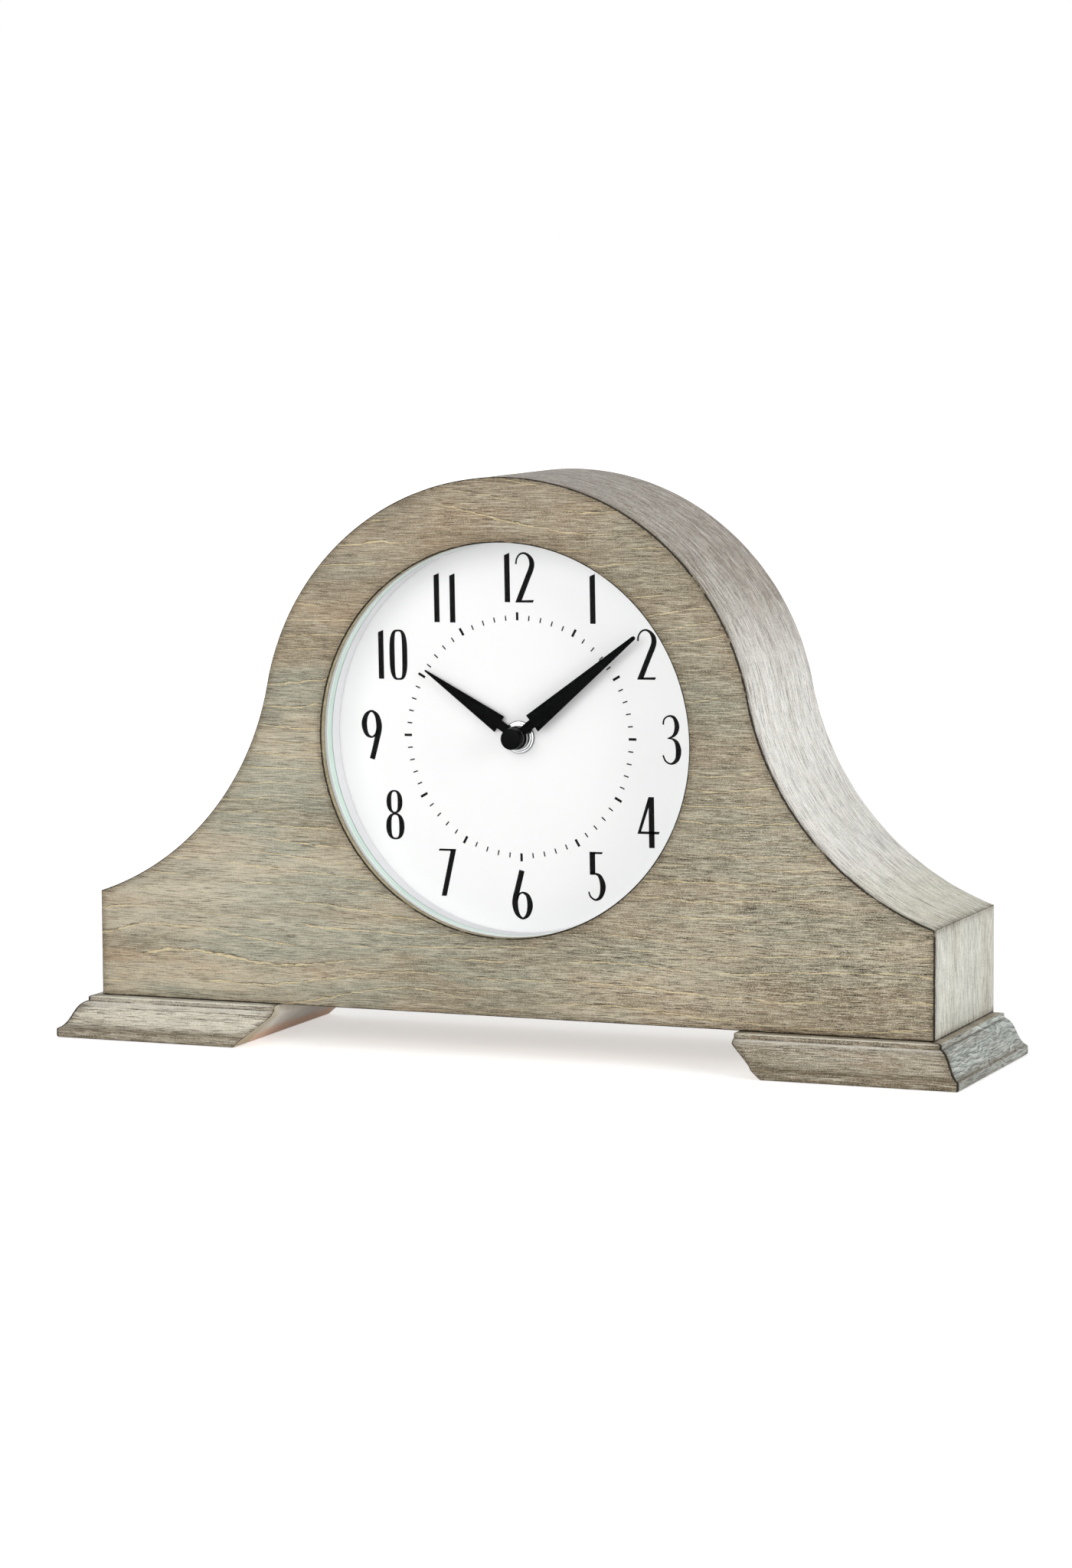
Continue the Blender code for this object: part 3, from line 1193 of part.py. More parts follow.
def make_battery():
    """Battery lying across the bottom of the movement, between two contacts."""
    inner = MOVEMENT_HALF - MOVEMENT_WALL
    plus_x = inner - GAP - CONTACT_THICKNESS
    nub_x = plus_x - GAP
    body_x = nub_x - BATTERY_NUB_LENGTH
    tail_x = body_x - BATTERY_LENGTH

    def cell(bm):
        chamfer = 2 * EDGE_CHAMFER
        steps = [
            (BATTERY_RADIUS - chamfer, tail_x),
            (BATTERY_RADIUS, tail_x + chamfer),
            (BATTERY_RADIUS, body_x - chamfer),
            (BATTERY_RADIUS - chamfer, body_x),
            (BATTERY_NUB_RADIUS, body_x),
            (BATTERY_NUB_RADIUS, nub_x),
        ]
        middle = (at(BATTERY_CENTRE_DEPTH), BAY_CENTRE)
        loft(bm, [[(u, y, w) for y, w in circle(r, BUSH_SEGMENTS, middle)]
                  for r, u in steps])

    piece("battery", "battery_jacket", cell)
    half = CONTACT_WIDTH / 2
    near = BATTERY_CENTRE_DEPTH - half
    far = BATTERY_CENTRE_DEPTH + half
    plus_low = (plus_x, near, BAY_CENTRE - half)
    plus_high = (plus_x + CONTACT_THICKNESS, far, BAY_CENTRE + half)
    piece("positive_contact", "steel", lambda bm: plank(bm, plus_low, plus_high))

    def leaf_spring(bm):
        wall = -inner + GAP
        crest = tail_x - GAP
        thick = CONTACT_THICKNESS
        run = [(wall, -half), (crest - thick, 0.0), (wall, half)]
        upper = [(u + thick, w) for u, w in reversed(run)]
        outline = [(u, BAY_CENTRE + w) for u, w in run + upper]
        prism(bm, outline, near, far)

    piece("spring_contact", "steel", leaf_spring)


def main():
    for item in list(bpy.data.objects):
        bpy.data.objects.remove(item, do_unlink=True)
    make_front_panel()
    make_arch_band()
    make_end_panels()
    make_bottom_board()
    make_feet()
    make_blocks()
    make_back()
    make_dial()
    make_dial_screws()
    make_hands()
    make_train()
    make_motion_work()
    make_movement_case()
    make_motor_and_circuit()


main()
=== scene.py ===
"""Looks of the tambour mantel clock.

Materials for every node, wooden pieces with rounded edges, the dial print, the turned hub of
the hands, small fasteners, light, floor and camera.
"""
import math

import bmesh
import bpy
from mathutils import Matrix, Vector


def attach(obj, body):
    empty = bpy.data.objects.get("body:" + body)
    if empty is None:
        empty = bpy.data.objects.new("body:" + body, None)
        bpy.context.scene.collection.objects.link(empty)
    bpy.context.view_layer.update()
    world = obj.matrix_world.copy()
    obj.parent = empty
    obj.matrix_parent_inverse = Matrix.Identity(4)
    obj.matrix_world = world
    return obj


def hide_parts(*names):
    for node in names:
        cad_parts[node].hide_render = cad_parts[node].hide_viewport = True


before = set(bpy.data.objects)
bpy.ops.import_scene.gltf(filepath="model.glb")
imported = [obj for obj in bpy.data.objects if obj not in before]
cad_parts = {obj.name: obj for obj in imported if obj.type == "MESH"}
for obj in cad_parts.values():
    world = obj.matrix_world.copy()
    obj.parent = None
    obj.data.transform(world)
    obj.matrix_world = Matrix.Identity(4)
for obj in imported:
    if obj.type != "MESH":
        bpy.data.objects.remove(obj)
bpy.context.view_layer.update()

MM = 0.001

# The clock's own sizes in millimetres, as in its CAD source
HALF_WIDTH = 200.0
BODY_DEPTH = 90.0
FRONT_Y = -37.05
BACK_Y = FRONT_Y + BODY_DEPTH
FOOT_HEIGHT = 18.5
SHOULDER_Z = 66.7
AXIS_Z = 142.0
ARCH_RADIUS = 116.9
SWEEP_RADIUS = 129.0
OPENING_RADIUS = 88.0
REBATE_RADIUS = 91.3
LIP_DEPTH = 4.0
FRONT_THICKNESS = 12.0
FACE_LAYER = 1.5
BAND_FRONT = 1.8
BAND_THICKNESS = 5.5
END_THICKNESS = 9.0
SEAM = 0.3
FOOT_INNER = 110.5
FOOT_CUT_STEP = 4.4
FOOT_CUT_RUN = 16.0
BEAD_PROJECTION = 15.9
BEAD_EDGE = 0.9
LEDGE = 4.9
FILLET = 2.4
BEAD_HEIGHT = 4.4
OGEE_FULLNESS = 5.7
OGEE_DROP = 1.4
OGEE_TOE = 2.5
DIAL_FACE = 20.3
BACK_RECESS = 8.0
DOOR_WIDTH = 120.0
DOOR_HEIGHT = 110.0
DOOR_DROP = 5.0
DOOR_CLEARANCE = 1.0
HINGE_INSET = 20.0
LEAF_THICKNESS = 0.8

# Sizes of what the scene adds, in millimetres
EDGE = 0.7                # rounding of the wooden edges
WALL_FRONT = 0.45         # depth at which the opening's wall starts
FOOT_BEVEL = 0.35         # of the foot's front corner
MITRE_GAP = 0.06          # between band and end, closer than in the CAD
DIAL_TURN = 0.75          # the print is turned this many degrees anticlockwise
PRINT_FRONT = 0.07        # faces of the print, in front of the dial
PRINT_BACK = 0.01
MARK_INNER = 52.3         # inner radius of the minute marks
HOUR_MARK = (55.9, 0.56)  # outer radius and half width
MINUTE_MARK = (54.6, 0.28)
SCREW_RADIUS = 2.9
LEAF_SCREW_RADIUS = 1.7
LEAF_OUT = 5.7            # leaf screws from the hinge's axis
LEAF_RISE = 5.6           # and from the hinge's middle
BACK_SCREWS = ((-182.0, 33.0), (182.0, 33.0), (-62.0, 32.5), (62.0, 32.5), (-186.0, 52.0),
               (186.0, 52.0), (-18.0, 247.5), (18.0, 247.5))
FIGURE_PITCH = 7.4        # between figure lines of the wood
RIPPLE_PITCH = 2.4
PLY = 1.4                 # thickness of a ply of the band

# Steps in a curve
ARCH_STEPS = 110
SWEEP_STEPS = 40
END_STEPS = 5
BOTTOM_STEPS = 60
ROUND_STEPS = 4
OGEE_STEPS = 24
STROKE_STEPS = 8
BOWL_STEPS = 64
HUB_STEPS = 96
SCREW_STEPS = 32

# Camera, fitted to the photo, and floor, in metres and degrees
CAMERA_PLACE = (0.8135, -2.00775, 0.3572)
CAMERA_TURNS = (22.03, 6.27, -0.33)  # yaw, pitch and roll
CAMERA_LENS = 111.09
FLOOR_HALF = 6.0
FLOOR_DROP = 0.0002


def srgb(r, g, b):
    """Linear colour of an 8-bit display colour."""
    def linear(v):
        v /= 255
        return v / 12.92 if v <= 0.04045 else ((v + 0.055) / 1.055) ** 2.4
    return (linear(r), linear(g), linear(b), 1.0)


# Node trees

def add_node(tree, kind, values, **settings):
    """Add a shader node; values has a Field, socket, display colour or number for each input."""
    node = tree.nodes.new("ShaderNode" + kind)
    for name, value in settings.items():
        setattr(node, name, value)
    for key, value in values.items():
        if isinstance(value, Field):
            value = value.socket
        if isinstance(value, bpy.types.NodeSocket):
            tree.links.new(value, node.inputs[key])
        else:
            display = isinstance(value, tuple) and len(value) == 3
            node.inputs[key].default_value = srgb(*value) if display else value
    return node


def math_node(kind, swapped=False, **settings):
    """A method of Field that adds one Math node."""
    def method(self, *others):
        values = enumerate((*others, self) if swapped else (self, *others))
        node = add_node(self.tree, "Math", dict(values), operation=kind, **settings)
        return Field(self.tree, node.outputs[0])
    return method


class Field:
    """A number that varies over a surface, with plain arithmetic that adds Math nodes."""

    __add__ = math_node("ADD")
    __radd__ = math_node("ADD", swapped=True)
    __sub__ = math_node("SUBTRACT")
    __rsub__ = math_node("SUBTRACT", swapped=True)
    __mul__ = math_node("MULTIPLY")
    __rmul__ = math_node("MULTIPLY", swapped=True)
    size = math_node("ABSOLUTE")
    root = math_node("SQRT")
    fraction = math_node("FRACT")
    least = math_node("MINIMUM")
    above = math_node("GREATER_THAN")
    clamped_sum = math_node("ADD", use_clamp=True)

    def __init__(self, tree, socket):
        self.tree = tree
        self.socket = socket

    def clamp(self):
        return self.clamped_sum(0.0)

    def smooth(self, low, high):
        """0 below low and 1 above high, or the other way round if low is the larger."""
        ends = (high, low, 1.0, 0.0) if low > high else (low, high, 0.0, 1.0)
        node = add_node(self.tree, "MapRange", dict(enumerate((self, *ends))),
                        interpolation_type="SMOOTHSTEP")
        return Field(self.tree, node.outputs["Result"])


class Paint:
    """A material with one Principled shader and fields of the place in millimetres."""

    def __init__(self, name, **values):
        self.material = bpy.data.materials.new(name)
        self.material.use_nodes = True
        self.tree = self.material.node_tree
        self.shader = self.tree.nodes["Principled BSDF"]
        place = add_node(self.tree, "TexCoord", {})
        split = add_node(self.tree, "SeparateXYZ", {0: place.outputs["Object"]})
        self.axes = [Field(self.tree, split.outputs[i]) * 1000.0 for i in range(3)]
        self.x, self.y, self.z = self.axes
        for key, value in values.items():
            self.shader.inputs[key.replace("_", " ")].default_value = value

    def noise(self, vector, seed, detail, roughness, distortion=0.0):
        """Noise of about 0 to 1 over a vector of three fields."""
        place = add_node(self.tree, "CombineXYZ", dict(enumerate(vector)))
        node = add_node(self.tree, "TexNoise", {
            "Vector": place.outputs[0], "Scale": 1.0, "W": seed, "Detail": detail,
            "Roughness": roughness, "Distortion": distortion}, noise_dimensions="4D")
        return Field(self.tree, node.outputs["Fac"])

    def even_noise(self, scale, *settings):
        """Noise that is alike in every direction."""
        return self.noise([axis * scale for axis in self.axes], *settings)

    def mix(self, first, second, factor):
        """Blend two colours, each a display colour, a linear one with alpha or a socket."""
        node = add_node(self.tree, "Mix", {0: factor, 6: first, 7: second}, data_type="RGBA",
                        clamp_factor=True)
        return node.outputs[2]

    def blend(self, tone, field, *layers):
        """Lay each (colour, low, high, strength) over a tone as the field goes low to high."""
        for colour, low, high, strength in layers:
            tone = self.mix(tone, colour, field.smooth(low, high) * strength)
        return tone

    def surface(self, tone, rough=None, height=None, distance=0.0, strength=0.0):
        """The material with this colour and, if given, roughness and bump."""
        link_to = self.tree.links.new
        link_to(tone, self.shader.inputs["Base Color"])
        if rough:
            link_to(rough.socket, self.shader.inputs["Roughness"])
        if height:
            bump = add_node(self.tree, "Bump", {"Strength": strength, "Distance": distance * MM,
                                                "Height": height})
            link_to(bump.outputs[0], self.shader.inputs["Normal"])
        return self.material


# Outline of the case

def sweep():
    """Angle at which arch and hollow touch, and the centre of the right-hand hollow."""
    down = AXIS_Z - SHOULDER_Z
    reach = math.hypot(HALF_WIDTH, down)
    centres = ARCH_RADIUS + SWEEP_RADIUS
    cosine = (reach ** 2 + centres ** 2 - SWEEP_RADIUS ** 2) / (2 * reach * centres)
    angle = math.acos(cosine) - math.atan2(down, HALF_WIDTH)
    return angle, (centres * math.cos(angle), AXIS_Z + centres * math.sin(angle))


TANGENT, HOLLOW = sweep()


def arc(centre, radius, start, end, steps):
    """Points (x, z) of an arc between two angles."""
    turns = [start + (end - start) * i / steps for i in range(steps + 1)]
    return [(centre[0] + radius * math.cos(a), centre[1] + radius * math.sin(a)) for a in turns]


def crown(inset, end_inset):
    """Upper outline from right shoulder to left."""
    radius = SWEEP_RADIUS + inset
    start = -math.pi + math.acos((HOLLOW[0] - HALF_WIDTH + end_inset) / radius)
    hollow = arc(HOLLOW, radius, start, TANGENT - math.pi, SWEEP_STEPS)
    dome = arc((0.0, AXIS_Z), ARCH_RADIUS - inset, TANGENT, math.pi - TANGENT, ARCH_STEPS)
    return hollow[:-1] + dome + [(-x, z) for x, z in reversed(hollow)][1:]


def outline(inset, end_inset, bottom_inset):
    """Closed outline of the front board, with points along its straight sides."""
    top = crown(inset, end_inset)
    edge = HALF_WIDTH - end_inset
    low = FOOT_HEIGHT + bottom_inset
    left = [(-edge, top[-1][1] + (low - top[-1][1]) * i / END_STEPS) for i in range(1, END_STEPS)]
    centre = math.atan2(AXIS_Z - FOOT_HEIGHT, HALF_WIDTH)
    floor = []
    for i in range(BOTTOM_STEPS + 1):
        turn = centre + (math.pi - 2 * centre) * (1 - i / BOTTOM_STEPS)
        x = (AXIS_Z - low) / math.tan(turn)
        floor.append((max(-edge, min(edge, x)), low))
    right = [(edge, low + (top[0][1] - low) * i / END_STEPS) for i in range(1, END_STEPS)]
    return top + left + floor + right


def round_steps(radius):
    """(inset, depth) points of a quarter-round edge, from the face to the side."""
    turns = [math.pi / 2 * i / ROUND_STEPS for i in range(ROUND_STEPS + 1)]
    return [(radius * (1 - math.sin(a)), radius * (1 - math.cos(a))) for a in turns]


# Meshes

def link(thing):
    """Put an object into the scene."""
    bpy.context.scene.collection.objects.link(thing)
    return thing


def add_piece(name, bm, material, body="case", smooth=35.0):
    """Turn a bmesh in millimetres into a piece that rides on a body."""
    bmesh.ops.recalc_face_normals(bm, faces=bm.faces)
    mesh = bpy.data.meshes.new(name)
    bm.to_mesh(mesh)
    bm.free()
    mesh.transform(Matrix.Scale(MM, 4))
    mesh.materials.append(material)
    mesh.shade_smooth()
    mesh.set_sharp_from_angle(angle=math.radians(smooth))
    piece = link(bpy.data.objects.new(name, mesh))
    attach(piece, body)
    return piece


def loft(bm, rings, closed=False):
    """Quads between rings of equally many points; end caps, or a closed row of rings."""
    rows = [[bm.verts.new(point) for point in ring] for ring in rings]
    pairs = list(zip(rows, rows[1:]))
    if closed:
        pairs.append((rows[-1], rows[0]))
    for low, high in pairs:
        for i in range(len(low)):
            j = (i + 1) % len(low)
            bm.faces.new((low[i], low[j], high[j], high[i]))
    if not closed:
        bm.faces.new(rows[0])
        bm.faces.new(rows[-1])


def turned_piece(name, profile, material, body="case"):
    """Revolve (radius, depth) points about the dial's axis; a ring if no radius is 0."""
    solid = profile[0][0] == 0.0
    rings = []
    for radius, depth in (profile[1:-1] if solid else profile):
        ring = arc((0.0, AXIS_Z), radius, 0.0, 2 * math.pi, HUB_STEPS)[:-1]
        rings.append([(x, FRONT_Y + depth, z) for x, z in ring])
    bm = bmesh.new()
    loft(bm, rings, closed=not solid)
    return add_piece(name, bm, material, body)


def stand_in(piece, node):
    """The piece takes the place of a CAD node."""
    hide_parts(node)


# Wood

GREEN_WASH = (142, 148, 134)
TAN_WASH = (186, 157, 126)
RUBBED = (106, 92, 70)
GRIME = (24, 20, 15)


def wood(name, along, tones, edge=None, figure=0.0, seed=0.0, contrast=1.0, roughness=0.56,
         tint=None, finish=None, streaks=1.0, hues=1.0, gain=None):
    """Washed wood. along has 1 for each axis in which the grain is drawn out.

    tones are the colours of dark streak, body, light streak, pore and figure line. figure,
    contrast, streaks and hues are the strengths of the figure lines, the grain, the streaks and
    the green and tan clouds. edge is a function that gives the distance in millimetres to the
    nearest worn edge, tint one that changes the colour under the grain, painted light and shade
    included, finish one that adds lines over it, painted highlights and shade included, and gain
    one that gives the grain's strength, each from place to place.
    """
    paint = Paint(name, Specular_IOR_Level=0.22)
    dark, body, light, pore, line = tones
    strength = gain(paint) if gain else 1.0
    level = strength * contrast

    def grain(fine, coarse, number, *settings, axes=paint.axes):
        vector = [axis * (coarse if flag else fine) for axis, flag in zip(axes, along)]
        return paint.noise(vector, seed + number, *settings)

    drift = (grain(0.02, 0.007, 1.0, 1.0, 0.4) - 0.5) * 7.0
    waved = [axis if flag else axis + drift for axis, flag in zip(paint.axes, along)]

    cloud = grain(0.034, 0.011, 2.0, 4.0, 0.55)
    tone = paint.blend(body, cloud, (dark, 0.50, 0.38, 0.86), (light, 0.50, 0.62, 0.42))
    hue = grain(0.05, 0.012, 2.5, 4.0, 0.60)
    tone = paint.blend(tone, hue, (GREEN_WASH, 0.49, 0.60, 0.66 * hues),
                       (TAN_WASH, 0.48, 0.38, 0.60 * hues))
    wash = grain(0.13, 0.005, 3.5, 3.0, 0.55, axes=waved)
    tone = paint.blend(tone, wash, (light, 0.52, 0.66, 0.36 * streaks * strength),
                       (dark, 0.48, 0.34, 0.62 * streaks * strength))
    if tint:
        tone = tint(paint, tone)
    streak = grain(0.55, 0.016, 3.0, 3.0, 0.6, axes=waved)
    tone = paint.blend(tone, streak, (light, 0.52, 0.68, 0.15 * streaks * level),
                       (dark, 0.48, 0.34, 0.25 * streaks * level))
    fibre = grain(3.1, 0.11, 6.0, 1.0, 0.6, axes=waved)
    tone = paint.blend(tone, fibre, (light, 0.50, 0.66, 0.42 * level),
                       (pore, 0.50, 0.35, 0.32 * level))
    dashes = grain(2.9, 0.1, 7.0, 1.0, 0.5, axes=waved)
    crowd = grain(0.05, 0.025, 8.0, 3.0, 0.6).smooth(0.34, 0.62)
    cut = crowd * 0.04
    if edge:
        distance = edge(paint)
        cut = cut + distance.smooth(4.5, 0.3) * 0.10
    pores = (dashes + cut).smooth(0.62, 0.665)
    tone = paint.mix(tone, pore, pores * (0.56 * level))
    if figure:
        sway = (grain(0.016, 0.0065, 4.0, 1.0, 0.5) - 0.5) * 46.0
        jag = (grain(0.20, 0.10, 4.5, 3.0, 0.6) - 0.5) * 3.0
        across = paint.y if along[2] else paint.z
        turn = ((across + sway + jag) * (1.0 / FIGURE_PITCH)).fraction()
        shown = grain(0.055, 0.013, 5.0, 2.0, 0.6).smooth(0.41, 0.51) * figure
        tan = ((turn - 0.5).size() * FIGURE_PITCH).smooth(0.34, 0.06)
        rim = ((turn - 0.548).size() * FIGURE_PITCH).smooth(0.28, 0.06)
        tone = paint.blend(tone, fibre, (pore, 0.62, 0.44, rim * shown * 0.9),
                           (line, 0.34, 0.48, tan * shown * 0.9))
    if finish:
        tone = finish(paint, tone)
    tooth = paint.even_noise(3.0, seed + 6.5, 1.0, 0.6)
    tone = paint.blend(tone, tooth, (light, 0.52, 0.66, 0.34 * level),
                       (pore, 0.48, 0.32, 0.26 * level))
    height = fibre.smooth(0.35, 0.6) * 0.6 - pores * 0.4
    rough = roughness + (fibre - 0.5) * 0.25
    if edge:
        ragged = paint.even_noise(0.55, seed + 9.0, 4.0, 0.75)
        broken = paint.even_noise(0.11, seed + 9.5, 3.0, 0.6)
        ink = (distance + (ragged - 0.5) * 1.1).smooth(0.58, 0.28) * broken.smooth(0.28, 0.44)
        rub = (distance + (ragged - 0.5) * 5.0).smooth(3.4, 0.4) * 0.26
        rub = rub + distance.smooth(14.0, 0.0) * 0.16
        tone = paint.mix(tone, RUBBED, rub.clamp())
        tone = paint.mix(tone, GRIME, ink * 0.94)
        height = height - ink * 0.5
        rough = rough + ink * 0.3
    return paint.surface(tone, rough, height, 0.10, 0.5)


# Where the wood is worn. A number added to a distance makes the wear there narrower or wider

def axis_reach(paint):
    """Distance from the dial's axis."""
    return (paint.x * paint.x + (paint.z - AXIS_Z) * (paint.z - AXIS_Z)).root()


def crown_depth(paint):
    """Distance inwards from the arch and the hollows."""
    across = paint.x.size()
    out = across - HOLLOW[0]
    up = paint.z - HOLLOW[1]
    hollow = (out * out + up * up).root() - SWEEP_RADIUS
    dome = ARCH_RADIUS - axis_reach(paint)
    side = (paint.z - AXIS_Z - across * math.tan(TANGENT)).above(0.0)
    return dome * side + hollow * (1.0 - side)


def front_edge(paint):
    """Distance from the front board's outline and opening."""
    ends = HALF_WIDTH - paint.x.size()
    floor = paint.z - FOOT_HEIGHT
    opening = axis_reach(paint) - OPENING_RADIUS - 0.22
    return crown_depth(paint).least(ends).least(floor).least(opening)


def band_edge(paint):
    """Distance from the band's front and back edges and from its mitres."""
    front = paint.y - (FRONT_Y + BAND_FRONT) + 0.2
    back = BACK_Y - paint.y
    return front.least(back + 3.0).least(HALF_WIDTH - paint.x.size() + 0.3)


def end_edge(paint):
    """Distance from an end panel's edges."""
    front = paint.y - (FRONT_Y + BAND_FRONT)
    back = BACK_Y - paint.y
    mitre = SHOULDER_Z - paint.z
    return front.least(back + 3.0).least(mitre + 0.3).least(paint.z - FOOT_HEIGHT)


def foot_edge(paint):
    """Distance from the foot's mitre, its bead, the floor and its inner end."""
    mitre = (paint.x.size() - HALF_WIDTH + paint.y - FRONT_Y).size() * 0.7
    rise = FOOT_HEIGHT - FOOT_CUT_STEP
    slant = (rise - paint.z) * (1.0 / rise)
    inner = paint.x.size() - FOOT_INNER - slant.clamp() * FOOT_CUT_RUN
    bead = (paint.z - BEAD_HEIGHT).size() + 0.52
    return (mitre - 0.15).least(bead).least(paint.z + 0.15).least(inner + 0.1)


# How the colour changes from place to place, painted light and shade included

def front_tint(paint, tone):
    """Browner over the arch and lower right, grey-green right of the dial, paler low left."""
    rightward = paint.x.smooth(-70.0, 130.0)
    tone = paint.mix(tone, (126, 113, 90), rightward * 0.14)
    tone = paint.mix(tone, (132, 106, 80), paint.z.smooth(150.0, 235.0) * 0.46)
    shade = axis_reach(paint).smooth(128.0, 104.0) * rightward * 0.52
    tone = paint.mix(tone, (112, 112, 94), shade)
    corner = paint.x.smooth(70.0, 195.0) * paint.z.smooth(85.0, 30.0) * 0.58
    tone = paint.mix(tone, (112, 92, 60), corner)
    pale = paint.x.smooth(-70.0, -130.0) * paint.z.smooth(38.0, 62.0) * paint.z.smooth(112.0, 80.0)
    return paint.mix(tone, (216, 208, 188), pale * 0.24)


def front_gain(paint):
    """The grain is stronger towards the lower right."""
    return 0.9 + paint.x.smooth(-100.0, 150.0) * (paint.z.smooth(160.0, 50.0) * 0.35 + 0.25)


def band_tint_and_painted_light(paint, tone):
    """Painted shade, brown at the apex, and painted light, pale on the slopes and cream at the
    shoulders; the slopes are also slightly pink.
    """
    # Painted shade: the apex, which faces up and away from the lamps, is darker brown.
    tone = paint.mix(tone, (104, 80, 52), paint.z.smooth(160.0, 226.0) * 0.84)
    pink = paint.z.smooth(210.0, 170.0) * paint.z.smooth(95.0, 130.0)
    tone = paint.mix(tone, (214, 204, 204), pink * 0.35)
    # Painted light: the slopes that face the lamp are painted pale.
    pale = paint.z.smooth(72.0, 88.0) * paint.z.smooth(200.0, 150.0)
    tone = paint.mix(tone, (252, 250, 244), pale * 0.75)
    # Painted light: paler and cream at the shoulders.
    return paint.mix(tone, (230, 228, 200), paint.z.smooth(96.0, 74.0) * 0.60)


def band_plies(paint, tone):
    """Thin plies of the bent skin on its cut back edge."""
    grit = paint.even_noise(0.9, 68.0, 3.0, 0.6)
    cut = paint.mix((176, 160, 134), (202, 190, 166), grit.smooth(0.38, 0.62))
    ply = ((crown_depth(paint) + (grit - 0.5) * 0.5) * (1.0 / PLY)).fraction()
    cut = paint.mix(cut, (112, 94, 72), (ply - 0.5).size().smooth(0.34, 0.44) * 0.7)
    return paint.mix(tone, cut, (BACK_Y - paint.y).smooth(0.60, 0.40))


def foot_tint(paint, tone):
    """Pale wash on the upper slope, brown towards the floor, and the left foot paler."""
    drop = FOOT_HEIGHT - paint.z
    wash = drop.smooth(FILLET, FILLET + 0.4) * drop.smooth(7.5, 3.4)
    tone = paint.mix(tone, (224, 220, 208), wash * 0.62)
    tone = paint.mix(tone, (124, 110, 88), paint.x.smooth(-60.0, 60.0) * 0.56)
    tone = paint.mix(tone, (236, 230, 214), paint.x.smooth(60.0, -60.0) * 0.76)
    return paint.mix(tone, (114, 94, 62), drop.smooth(11.5, 15.0) * 0.60)


def foot_painted_light_and_shade(paint, tone):
    """Painted highlights and shade on the front moulding: a pale line on the step's edge, painted
    shade on the fillet, dark lines in the moulding's corners and a pale band where the ogee
    starts.
    """
    ragged = paint.even_noise(0.6, 64.0, 4.0, 0.7)
    broken = paint.even_noise(0.09, 65.0, 3.0, 0.6)
    drop = FOOT_HEIGHT - paint.z + (ragged - 0.5) * 0.5
    inward = paint.y - (FRONT_Y - LEDGE)
    rim = inward.least(HALF_WIDTH + LEDGE - paint.x.size()).smooth(1.5, 0.7)
    # Painted highlight: a pale line along the step's rounded front edge.
    tone = paint.mix(tone, (226, 222, 208), drop.smooth(0.9, 0.6) * rim * 0.75)
    # Painted shade on the vertical fillet.
    tone = paint.mix(tone, (124, 110, 90), drop.smooth(1.1, 1.4) * drop.smooth(2.5, 2.2) * 0.5)
    # Painted shade: dark broken lines in the moulding's corners.
    for place, width, strength in ((1.1, 0.22, 0.75), (2.45, 0.30, 0.85), (4.6, 0.26, 0.5)):
        line = (drop - place).size().smooth(width, width * 0.4)
        tone = paint.mix(tone, (40, 34, 27), line * broken.smooth(0.36, 0.52) * strength)
    # Painted highlight: a pale band where the ogee starts.
    return paint.mix(tone, (232, 229, 218), (drop - 3.0).size().smooth(0.55, 0.2) * 0.6)


def side_ripple(paint, tone):
    """Close wavy light and dark lines of the rippled grain on the side moulding, a dark line along
    the bead and painted shade under the step.
    """
    sway = (paint.noise((paint.y * 0.034, paint.z * 0.012, 0.0), 66.0, 2.0, 0.5) - 0.5) * 14.0
    jag = (paint.noise((paint.y * 0.12, paint.z * 0.10, 0.0), 66.5, 2.0, 0.5) - 0.5) * 2.2
    turn = ((paint.z + sway + jag) * (1.0 / RIPPLE_PITCH)).fraction()
    shown = paint.noise((paint.y * 0.045, paint.z * 0.16, 0.0), 67.0, 2.0, 0.6).smooth(0.44, 0.62)
    tone = paint.mix(tone, (224, 229, 224), turn.smooth(0.35, 0.85) * shown * 0.60)
    tone = paint.mix(tone, (70, 74, 70), (turn - 0.16).size().smooth(0.15, 0.03) * shown * 0.80)
    drop = FOOT_HEIGHT - paint.z
    bead = (drop - (FOOT_HEIGHT - BEAD_HEIGHT)).size().smooth(0.4, 0.15) * (0.9 - shown * 0.3)
    tone = paint.mix(tone, (88, 72, 62), bead * 0.7)
    # Painted shade: a dark line in the corner under the step.
    step = (drop - 2.5).size().smooth(0.4, 0.15)
    return paint.mix(tone, (70, 66, 58), step * 0.6)


def foot_side_tint(paint, tone):
    """Bluish wash on the side moulding."""
    return paint.blend(tone, FOOT_HEIGHT - paint.z, ((176, 184, 184), 1.0, 4.5, 0.35))


FRONT_TONES = ((141, 129, 105), (184, 173, 150), (216, 207, 184), (58, 48, 33), (228, 209, 162))
# The band's and the ends' tones are paler than the front's: painted light for the brighter light
# on these faces.
BAND_TONES = ((172, 166, 155), (222, 219, 211), (244, 243, 237), (84, 78, 68), (228, 222, 205))
END_TONES = ((180, 179, 165), (219, 218, 206), (236, 236, 227), (90, 88, 78), (228, 222, 205))
FOOT_TONES = ((136, 124, 99), (184, 175, 151), (224, 218, 201), (56, 47, 34), (214, 200, 168))
SIDE_TONES = ((104, 110, 102), (168, 176, 166), (218, 224, 219), (46, 46, 40), (214, 214, 204))
INNER_TONES = ((176, 143, 98), (198, 168, 122), (214, 188, 145), (120, 88, 54), (176, 138, 90))

